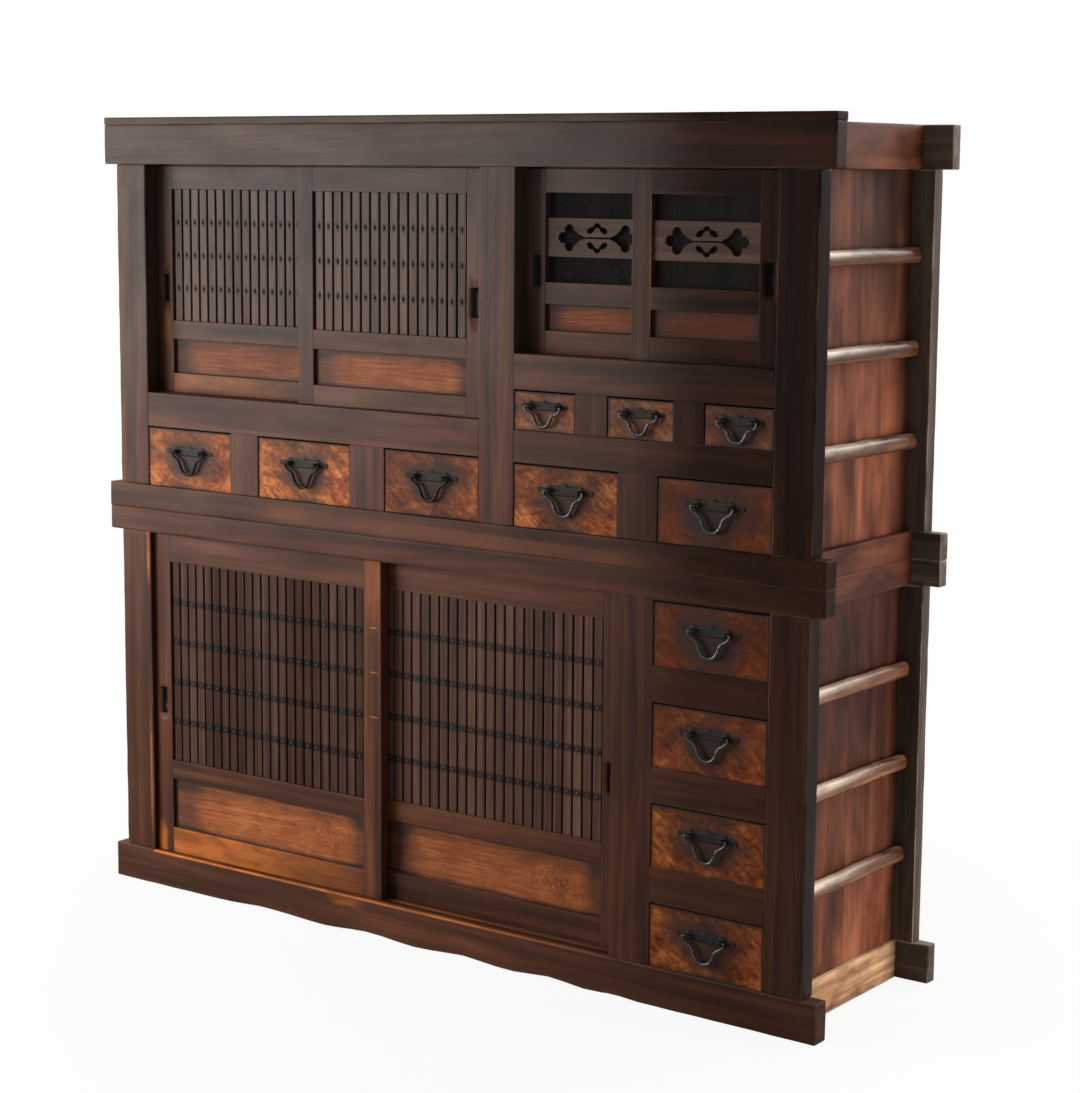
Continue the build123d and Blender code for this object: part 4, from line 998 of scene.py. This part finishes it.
def door_panel(node, cupboard, hand):
    """The lower panel, with painted shade at its ends and top, where the frame round its recess shades it,
    and a darker rim, partly grime and partly painted shade. Its grain runs level. Burl, kept in the finish's
    edge,
    lies round a point near its right end and falls off as a bell curve, and the grain lines part round it:
    they are pushed away in proportion to the same curve. Only the lower cupboard's panels have much of it."""
    low, high, _ = solids(node)[PANEL]
    width, rise = high[X] - low[X], high[Z] - low[Z]
    whole_x, whole_z = (low[X] - 1, high[X] + 1), (low[Z] - 1, high[Z] + 1)
    # Painted shade at the left and right ends and along the top.
    shadowed = [
        (Y, -1, (low[X] - 0.2 * width, low[X] + 0.2 * width), whole_z, 0, -0.75),
        (Y, -1, (high[X] - 0.1 * width, high[X] + 0.1 * width), whole_z, 0, -0.75),
        (Y, -1, whole_x, (high[Z] - 0.35 * rise, high[Z] + 0.35 * rise), 0, -0.45),
    ]
    tone = DOORS[cupboard, hand]["panel"]
    points, faces, grain, finish = board(
        low, high, 0.6 * MM, seed_of(node, 5), 8 * MM, shadowed, rim=6 * MM, tone=tone
    )
    burl_place, burl_width, burl_height = (0.8, 0.5, 0.45), 95 * MM, 60 * MM
    away = points - (low + (high - low) * burl_place)
    near = np.exp(-((away[:, X] / burl_width) ** 2) - (away[:, Z] / burl_height) ** 2)
    grain[:, 1] -= away[:, Z] * near * 0.45
    burl = 1.2 if cupboard == "lower_left" else 0.5
    finish[:, 0] = np.clip(near * burl - 0.3, 0, 1)
    return points, faces, grain, finish


# Round each nail the slats are stained: half the stain's width, its mark, and the nails' iron.
STAINS = {"upper_left": (6 * MM, -1.1, "smoked_nail_iron"), "lower_left": (60 * MM, -0.85, "nail_iron")}
STAIN_HALF_HEIGHT = 11 * MM
# The lower doors' frames are painted lighter: painted light on rails and stiles that stand in shade.
LOWER_DOOR_PAINTED_LIGHT = 0.14  # how much lighter the frames of the lower doors are


def stained_slat(node, number, low, high, heights, cupboard, tone):
    """A slat with a stain at the height of each crossbar. Its tone differs a little from slat to slat."""
    spot, mark, _ = STAINS[cupboard]
    x = (low[X] + high[X]) / 2
    stains = [
        (Y, -1, (x - spot, x + spot), (z - STAIN_HALF_HEIGHT, z + STAIN_HALF_HEIGHT), 0, mark)
        for z in heights
    ]
    ease = bpy.context.scene.mizuya_timber.slat_ease
    own_tone = tone + 0.16 * math.sin(7.0 * number)
    return board(low, high, ease, seed_of(node, 10 + number), 60 * MM, stains, tone=own_tone)


def nail_heads(slats, bars):
    """A domed nail on each crossing of a slat and a crossbar: rings whose radius falls from the slat to the
    top."""
    doors = bpy.context.scene.mizuya_doors
    height = np.array([-0.2, 0.25, 0.75, 0.97]) * doors.nail_rise
    radius = np.array([1.0, 1.0, 0.72, 0.3]) * doors.nail_radius
    heads = []
    for slat_low, slat_high, _ in slats:
        for bar_low, bar_high, _ in bars:
            centre = np.array([(slat_low[X] + slat_high[X]) / 2, slat_low[Y], (bar_low[Z] + bar_high[Z]) / 2])
            path = centre + np.outer(-height, (0, 1, 0))
            heads.append(tube(path, radius, (0, 0, 1), around=8))
    return joined(heads)


class MizuyaLatticeDoors(bpy.types.Operator):
    """The four sliding doors with slats, crossbars, nails and a figured panel"""

    bl_idname = "mizuya.lattice_doors"
    bl_label = "Lattice doors"

    def execute(self, context):
        timber = context.scene.mizuya_timber
        found = finishes()
        for (cupboard, hand), door in DOORS.items():
            if "slats" not in door:
                continue
            node = f"{cupboard}_door_{hand}"
            lattice = solids(node)[PANEL + 1 :]
            slats = [s for s in lattice if s[1][Z] - s[0][Z] > s[1][X] - s[0][X]]
            bars = [s for s in lattice if s[1][Z] - s[0][Z] < s[1][X] - s[0][X]]
            heights = [(bar_low[Z] + bar_high[Z]) / 2 for bar_low, bar_high, _ in bars]
            slat_boards = [
                stained_slat(node, n, low, high, heights, cupboard, door["slats"])
                for n, (low, high, _) in enumerate(slats)
            ]
            bar_boards = [
                board(low, high, timber.joinery_ease, seed_of(node, 80 + n), timber.grid_step)
                for n, (low, high, _) in enumerate(bars)
            ]
            # The frame's lacquer gets the front's painted sheen and painted shade.
            frame_shape = painted_light_over_front(joined(door_members(node, cupboard, hand) + bar_boards))
            # Painted light on the lower doors' frames.
            if cupboard == "lower_left":
                frame_shape[3][:, 1] += LOWER_DOOR_PAINTED_LIGHT
            panel, nails = door_panel(node, cupboard, hand), nail_heads(slats, bars)
            make_piece(f"{node}_frame", node, found["lacquered_cypress"], frame_shape, [node])
            make_piece(f"{node}_slats", node, found["greyed_slat"], joined(slat_boards), [node])
            make_piece(f"{node}_panel", node, found["panel_zelkova"], panel, [node])
            make_piece(f"{node}_nails", node, found[STAINS[cupboard][2]], nails)
        return {"FINISHED"}


def wire_netting(low, high):
    """Two families of slanted wires woven over and under each other: each is a line at 45 degrees, cut to
    the frame, that bends at each crossing, in turn forwards and back. The crossings lie half a pitch apart,
    counted from half the width below the frame's foot."""
    doors = bpy.context.scene.mizuya_doors
    pitch, radius = doors.wire_pitch, doors.wire_radius
    width, height = high[X] - low[X], high[Z] - low[Z]
    depth = (low[Y] + high[Y]) / 2
    wires = []
    for slant in (-1, 1):
        for number in range(1, int((width + height) / pitch) + 1):
            start = number * pitch
            lowest, highest = max(0.0, start - width), min(height, start)
            if highest - lowest < pitch:
                continue
            first = math.ceil((lowest + width / 2) / pitch * 2)
            last = math.floor((highest + width / 2) / pitch * 2)
            crossings = np.arange(first, last + 1) * pitch / 2 - width / 2
            level = np.unique(np.round(np.concatenate([[lowest], crossings, [highest]]), 5))
            across = start - level if slant < 0 else width - (start - level)
            weave = slant * np.cos((level + width / 2) / (pitch / 2) * math.pi) * radius * 0.9
            path = np.stack([low[X] + across, depth + weave, low[Z] + level], axis=1)
            wires.append(tube(path, radius, (0, 1, 0), around=4))
    return joined(wires)


CARVING_TONE = {"left": 0.45, "right": 0.3}


class MizuyaOpenworkDoors(bpy.types.Operator):
    """The two sliding doors with a carved board in front of wire netting"""

    bl_idname = "mizuya.openwork_doors"
    bl_label = "Openwork doors"

    def execute(self, context):
        found = finishes()
        for hand in ("left", "right"):
            node = f"upper_right_door_{hand}"
            carved = solid_copy(node, solids(node)[PANEL + 1][2])
            carved[3][:, 1] = CARVING_TONE[hand]
            # The frame's lacquer gets the front's painted sheen and painted shade.
            frame_shape = painted_light_over_front(joined(door_members(node, "upper_right", hand)))
            panel = door_panel(node, "upper_right", hand)
            make_piece(f"{node}_frame", node, found["lacquered_cypress"], frame_shape, [node])
            make_piece(f"{node}_panel", node, found["panel_zelkova"], panel, [node])
            made = make_piece(f"{node}_carving", node, found["carved_cypress"], carved, [node])
            bevel = made.modifiers.new("softened carving", "BEVEL")
            bevel.width, bevel.segments = 0.9 * MM, 2
            bevel.limit_method, bevel.angle_limit = "ANGLE", math.radians(40)
            made.data.shade_flat()
            netting = wire_netting(*(np.array(corner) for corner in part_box(f"{node}_mesh")))
            make_piece(f"{node}_netting", node, found["black_wire"], netting, [f"{node}_mesh"])
        return {"FINISHED"}


# ---- drawers ---------------------------------------------------------------------------------------------
DRAWER_TONE = {
    "upper_left_drawer_1": 0.6, "upper_left_drawer_2": 1.0, "upper_left_drawer_3": 0.5,
    "small_drawer_1": 1.0, "small_drawer_2": 1.0, "small_drawer_3": 0.35,
    "upper_right_drawer_1": 0.65, "upper_right_drawer_2": 0.1,
    "lower_drawer_1": 0.1, "lower_drawer_2": 0.35, "lower_drawer_3": 0.5, "lower_drawer_4": 0.45,
}


def drawer_names():
    return sorted(n[: -len("_plate")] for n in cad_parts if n.endswith("_plate"))


def darkened_round_pull(shape, drawer):
    """The front is darkened round the pull: the mark falls as a bell curve from the plate, further above it
    than below, and rises again to clean wood towards the lower corners."""
    points, faces, grain, finish = shape
    low, high = (np.array(corner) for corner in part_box(f"{drawer}_bail"))
    centre, size = (low + high) / 2, high - low
    away = points - centre
    reach = np.where(away[:, Z] > 0, 1.3, 0.75) * size[Z]
    near = np.exp(-((away[:, X] / (0.75 * size[X])) ** 2) - (away[:, Z] / reach) ** 2)
    clean = np.clip(-away[:, Z] / size[Z] + 0.2, 0, 1) * np.clip(np.abs(away[:, X]) / size[X] - 0.3, 0, 0.6)
    finish[:, 2] += clean - (1.0 if drawer.startswith("small") else 1.3) * near
    return points, faces, grain, finish


class MizuyaDrawers(bpy.types.Operator):
    """Twelve drawers: a figured front and a plain box behind it"""

    bl_idname = "mizuya.drawers"
    bl_label = "Drawers"

    def execute(self, context):
        timber = context.scene.mizuya_timber
        found = finishes()
        for drawer in drawer_names():
            (low, high, _), *box = solids(drawer)
            # Painted shadow along the top and right edges of the front, where the gaps round it lie in shade.
            shadowed = [
                (Y, -1, (high[X] - 4 * MM, high[X] + 4 * MM), (low[Z] - 1, high[Z] + 1), 0, -0.8),
                (Y, -1, (low[X] - 1, high[X] + 1), (high[Z] - 4 * MM, high[Z] + 4 * MM), 0, -0.8),
            ]
            front = board(
                low, high, timber.joinery_ease, seed_of(drawer), 9 * MM, shadowed, rim=5 * MM,
                tone=DRAWER_TONE[drawer],
            )
            front = darkened_round_pull(front, drawer)
            zelkova = found["smoked_zelkova" if drawer.startswith("small") else "burl_zelkova"]
            make_piece(f"{drawer}_front", drawer, zelkova, front, [drawer])
            boards = [
                board(low, high, timber.joinery_ease, seed_of(drawer, n + 1), timber.grid_step)
                for n, (low, high, _) in enumerate(box)
            ]
            make_piece(f"{drawer}_box", drawer, found["bare_cedar"], joined(boards), [drawer])
        return {"FINISHED"}


# A pull's outline, in millimetres: half the distance between the eyes; half the plate's length; the half
# height of its bar and neck; the radius of its lobes and tips; the rise of the crest; and the bail's bends
# as half width and drop.
LARGE_PULL = {
    "eye": 38.0, "half_length": 69.0, "bar": 9.7, "neck": 4.0, "lobe": 11.6, "crest": 1.9, "tip": 5.2,
    "bends": [(10.5 + 38, 0.0), (6.5 + 38, 11.0), (26.0, 20.0), (20.5, 38.0), (10.0, 49.5)],
}
SMALL_PULL = {
    "eye": 34.0, "half_length": 56.0, "bar": 8.5, "neck": 3.6, "lobe": 10.3, "crest": 1.7, "tip": 4.8,
    "bends": [(10.5 + 34, 0.0), (6.5 + 34, 11.0), (23.0, 16.0), (18.2, 30.4), (8.8, 40.0)],
}


def lobed_plate(pull, back, centre):
    """A thin plate as rings across its length. Its half height at x is the largest of the bar, the neck and
    the circles of its lobes and tips, and its face rises from the rim in a short rounded slope."""
    x = np.linspace(-pull["half_length"] + 0.02, pull["half_length"] - 0.02, 150)

    def bow(middle, radius):
        return np.sqrt(np.maximum(radius**2 - (x - middle) ** 2, 0))

    tip = pull["half_length"] - pull["tip"]
    shared = np.maximum.reduce([
        np.where(np.abs(x) < pull["eye"], pull["bar"], 0), np.where(np.abs(x) < tip, pull["neck"], 0),
        *(bow(side * pull["eye"], pull["lobe"]) for side in (-1, 1)),
        *(bow(side * tip, pull["tip"]) for side in (-1, 1)),
    ])
    top = np.maximum(shared, np.where(bow(0, pull["lobe"]) > 0, bow(0, pull["lobe"]) + pull["crest"], 0))
    across = np.array([-1, -1, -0.93, -0.6, 0, 0.6, 0.93, 1, 1])
    rise = np.array([0, 0.55, 1, 1, 1, 1, 1, 0.55, 0]) * bpy.context.scene.mizuya_pulls.plate
    height = np.where(across[None, :] > 0, across[None, :] * top[:, None], across[None, :] * shared[:, None])
    rings = np.empty((len(x), len(across), 3))
    rings[..., X] = centre[X] + x[:, None] * MM
    rings[..., Y] = back - rise[None, :]
    rings[..., Z] = centre[Z] + height * MM
    return loft(rings)


def eye_stud(centre, face):
    """A washer, a neck and an eye. Washer and neck are rings round y; the eye is a ring round x whose
    section is an oval, so its hole keeps clear of the bail."""
    pulls = bpy.context.scene.mizuya_pulls
    washer_reach = np.array([0.2, -0.9, -1.7, -2.0]) * MM
    washer_radius = np.array([1.0, 1.0, 0.82, 0.3]) * pulls.collar
    washer_path = np.array([centre[X], face, centre[Z]]) + np.outer(washer_reach, (0, 1, 0))
    washer = tube(washer_path, washer_radius, (0, 0, 1), 18)
    middle, thick = (pulls.eye_hole + pulls.eye_radius) / 2, (pulls.eye_radius - pulls.eye_hole) / 2
    neck_path = np.linspace((centre[X], face, centre[Z]), (centre[X], centre[Y] + middle, centre[Z]), 4)
    neck = tube(neck_path, pulls.neck * np.array([1.1, 1.0, 0.95, 0.9]), (0, 0, 1), 12)
    turns, sections = np.arange(24) / 24 * 2 * math.pi, np.arange(10) / 10 * 2 * math.pi
    turn, section = np.meshgrid(turns, sections, indexing="ij")
    reach = middle + thick * np.cos(section)
    around = (pulls.eye_width / 2 * np.sin(section), reach * np.cos(turn), reach * np.sin(turn))
    ring = np.stack([middle_of + away for middle_of, away in zip(centre, around)], axis=-1)
    return joined([washer, neck, loft(ring, closed=True)])


def bail_rod(pull, centre):
    """A forged rod: a smooth path through the bends, mirrored. Its radius swells towards the grip as a
    squared cosine."""
    pulls = bpy.context.scene.mizuya_pulls
    inner_end, outer_end = -7.0, 5.6  # from the middle of the eye, in millimetres
    half = [(pull["eye"] + inner_end, 0.0), (pull["eye"] + outer_end, 0.0), *pull["bends"]]
    corners = [(-x, drop) for x, drop in half] + half[::-1]
    path = smooth_path([(centre[X] + x * MM, centre[Y], centre[Z] - drop * MM) for x, drop in corners], 9)
    along = np.linspace(-1, 1, len(path))
    radius = pulls.rod * (0.9 + pulls.swell * np.cos(along * math.pi / 2) ** 2)
    return tube(path, radius, (0, 1, 0), around=14)


class MizuyaPullsMake(bpy.types.Operator):
    """Iron plates, eyes and bails of the drawers"""

    bl_idname = "mizuya.pulls"
    bl_label = "Drawer pulls"

    def execute(self, context):
        pulls = context.scene.mizuya_pulls
        found = finishes()
        for drawer in drawer_names():
            pull = SMALL_PULL if drawer.startswith("small") else LARGE_PULL
            low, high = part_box(f"{drawer}_bail")
            centre = np.array([(low[X] + high[X]) / 2, (low[Y] + high[Y]) / 2, high[Z] - pulls.rod])
            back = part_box(f"{drawer}_plate")[1][Y]
            studs = [
                eye_stud(centre + (side * pull["eye"] * MM, 0, 0), back - pulls.plate) for side in (-1, 1)
            ]
            plate = joined([lobed_plate(pull, back, centre), *studs])
            make_piece(
                f"{drawer}_pull_plate", drawer, found["forged_iron"], plate, [f"{drawer}_plate"]
            )
            rod = bail_rod(pull, centre)
            # Bails other than the upper left ones get the lighter iron: painted light, for their glints.
            iron = found["forged_iron" if drawer.startswith("upper_left") else "handled_iron"]
            make_piece(f"{drawer}_pull_bail", f"{drawer}_bail", iron, rod, [f"{drawer}_bail"])
        return {"FINISHED"}


# ---- stage -----------------------------------------------------------------------------------------------
def soft_light(name, place, target, width, height, power):
    light = bpy.data.lights.new(name, "AREA")
    light.shape, light.size, light.size_y, light.energy = "RECTANGLE", width, height, power
    made = bpy.data.objects.new(name, light)
    made.location = place
    made.rotation_euler = (Vector(target) - Vector(place)).to_track_quat("-Z", "Y").to_euler()
    made.visible_camera = False
    bpy.context.scene.collection.objects.link(made)


def seen_directly(tree):
    """1 for a ray of the camera, a reflection or a transmission, and 0 for one that gathers light."""
    path = add(tree, "LightPath").outputs
    seen = maths(tree, "MAXIMUM", path["Is Camera Ray"], path["Is Glossy Ray"])
    return maths(tree, "MAXIMUM", seen, path["Is Transmission Ray"])


class MizuyaStageMake(bpy.types.Operator):
    """Camera, soft lights, pale floor and background"""

    bl_idname = "mizuya.stage"
    bl_label = "Stage"

    def execute(self, context):
        scene, stage = context.scene, context.scene.mizuya_stage
        scene.view_settings.view_transform = "Standard"
        camera = bpy.data.cameras.new("camera")
        camera.sensor_fit, camera.sensor_height, camera.lens = "VERTICAL", 36.0, stage.lens
        image_width, image_height = 1080, 1093  # pixels
        principal_x, principal_y = 541.5, 534.9  # where the camera's axis meets the picture, in pixels
        camera.shift_x = (image_width / 2 - principal_x) / image_height
        camera.shift_y = (principal_y - image_height / 2) / image_height
        yaw, dip, roll = stage.camera_turn, stage.camera_dip, stage.camera_roll
        ahead = Vector((-math.sin(yaw) * math.cos(dip), math.cos(yaw) * math.cos(dip), -math.sin(dip)))
        right = Vector((math.cos(yaw), math.sin(yaw), 0))
        above = right.cross(ahead)
        right, above = (
            math.cos(roll) * right + math.sin(roll) * above, -math.sin(roll) * right + math.cos(roll) * above
        )
        made = bpy.data.objects.new("camera", camera)
        turn = Matrix((right, above, -ahead)).transposed().to_4x4()
        made.matrix_world = Matrix.Translation(stage.camera_place) @ turn
        scene.collection.objects.link(made)
        scene.camera = made

        soft_light("left front softbox", (-2.6, -2.2, 1.25), (-0.6, -0.2, 0.95), 2.1, 1.8, stage.key_power)
        soft_light("right softbox", (3.2, 1.1, 0.95), (0.9, 0, 0.8), 1.4, 1.6, stage.side_power)
        soft_light("back softbox", (1.7, 3.2, 2.5), (0.9, 0, 1.1), 2.0, 1.4, stage.back_power)

        world = bpy.data.worlds.new("studio")
        scene.world = world
        world.use_nodes = True
        tree = world.node_tree
        tree.nodes.clear()
        strength = spread_to(tree, seen_directly(tree), stage.ambient, 1.0)
        light = add(tree, "Background", {"Color": (1, 1, 1, 1), "Strength": strength})
        add(tree, "OutputWorld", {"Surface": light.outputs[0]})

        material, tree = new_material("white_painted_floor")
        painted = {"Base Color": (*stage.floor, 1), "Roughness": 0.9, "Specular IOR Level": 0.1}
        shader = add(tree, "BsdfPrincipled", painted)
        glow = add(tree, "Emission", {"Color": (1, 1, 1, 1), "Strength": 1.0})
        place = add(tree, "TexCoord").outputs["Object"]
        distance = add(tree, "VectorMath", {0: place}, operation="LENGTH").outputs["Value"]
        fading = spread_to(tree, distance, 0.9, 1.0, 1.0, 1.7)
        lifted = maths(tree, "MULTIPLY", fading, seen_directly(tree))
        shown = add(tree, "MixShader", {0: lifted, 1: shader.outputs[0], 2: glow.outputs[0]})
        add(tree, "OutputMaterial", {"Surface": shown.outputs[0]})
        mesh = bpy.data.meshes.new("floor")
        reach = 30.0
        corners = [(-reach, -reach, 0), (reach, -reach, 0), (reach, reach, 0), (-reach, reach, 0)]
        mesh.from_pydata(corners, [], [(0, 1, 2, 3)])
        mesh.materials.append(material)
        floor = bpy.data.objects.new("floor", mesh)
        scene.collection.objects.link(floor)
        return {"FINISHED"}


# ---- panel and registration ------------------------------------------------------------------------------
SETTINGS = {
    "mizuya_timber": MizuyaTimber,
    "mizuya_doors": MizuyaDoors,
    "mizuya_pulls": MizuyaPulls,
    "mizuya_stage": MizuyaStage,
}
OPERATORS = (
    MizuyaCarcass,
    MizuyaLatticeDoors,
    MizuyaOpenworkDoors,
    MizuyaDrawers,
    MizuyaPullsMake,
    MizuyaStageMake,
)


class MizuyaPanel(bpy.types.Panel):
    """Lists the cabinet's sizes, colours and pieces"""

    bl_idname = "VIEW3D_PT_mizuya"
    bl_label = "Mizuya cabinet"
    bl_space_type = "VIEW_3D"
    bl_region_type = "UI"
    bl_category = "Mizuya"

    def draw(self, context):
        for settings, group in SETTINGS.items():
            box = self.layout.box()
            for name in group.__annotations__:
                box.prop(getattr(context.scene, settings), name)
        for operator in OPERATORS:
            self.layout.operator(operator.bl_idname)


def register():
    for group in (*SETTINGS.values(), *OPERATORS, MizuyaPanel):
        bpy.utils.register_class(group)
    for name, group in SETTINGS.items():
        setattr(bpy.types.Scene, name, PointerProperty(type=group))


def unregister():
    for name in SETTINGS:
        delattr(bpy.types.Scene, name)
    for group in reversed((*SETTINGS.values(), *OPERATORS, MizuyaPanel)):
        bpy.utils.unregister_class(group)


def main():
    """Makes every piece and the stage."""
    register()
    bpy.ops.mizuya.carcass()
    bpy.ops.mizuya.lattice_doors()
    bpy.ops.mizuya.openwork_doors()
    bpy.ops.mizuya.drawers()
    bpy.ops.mizuya.pulls()
    bpy.ops.mizuya.stage()


if __name__ == "__main__":
    main()
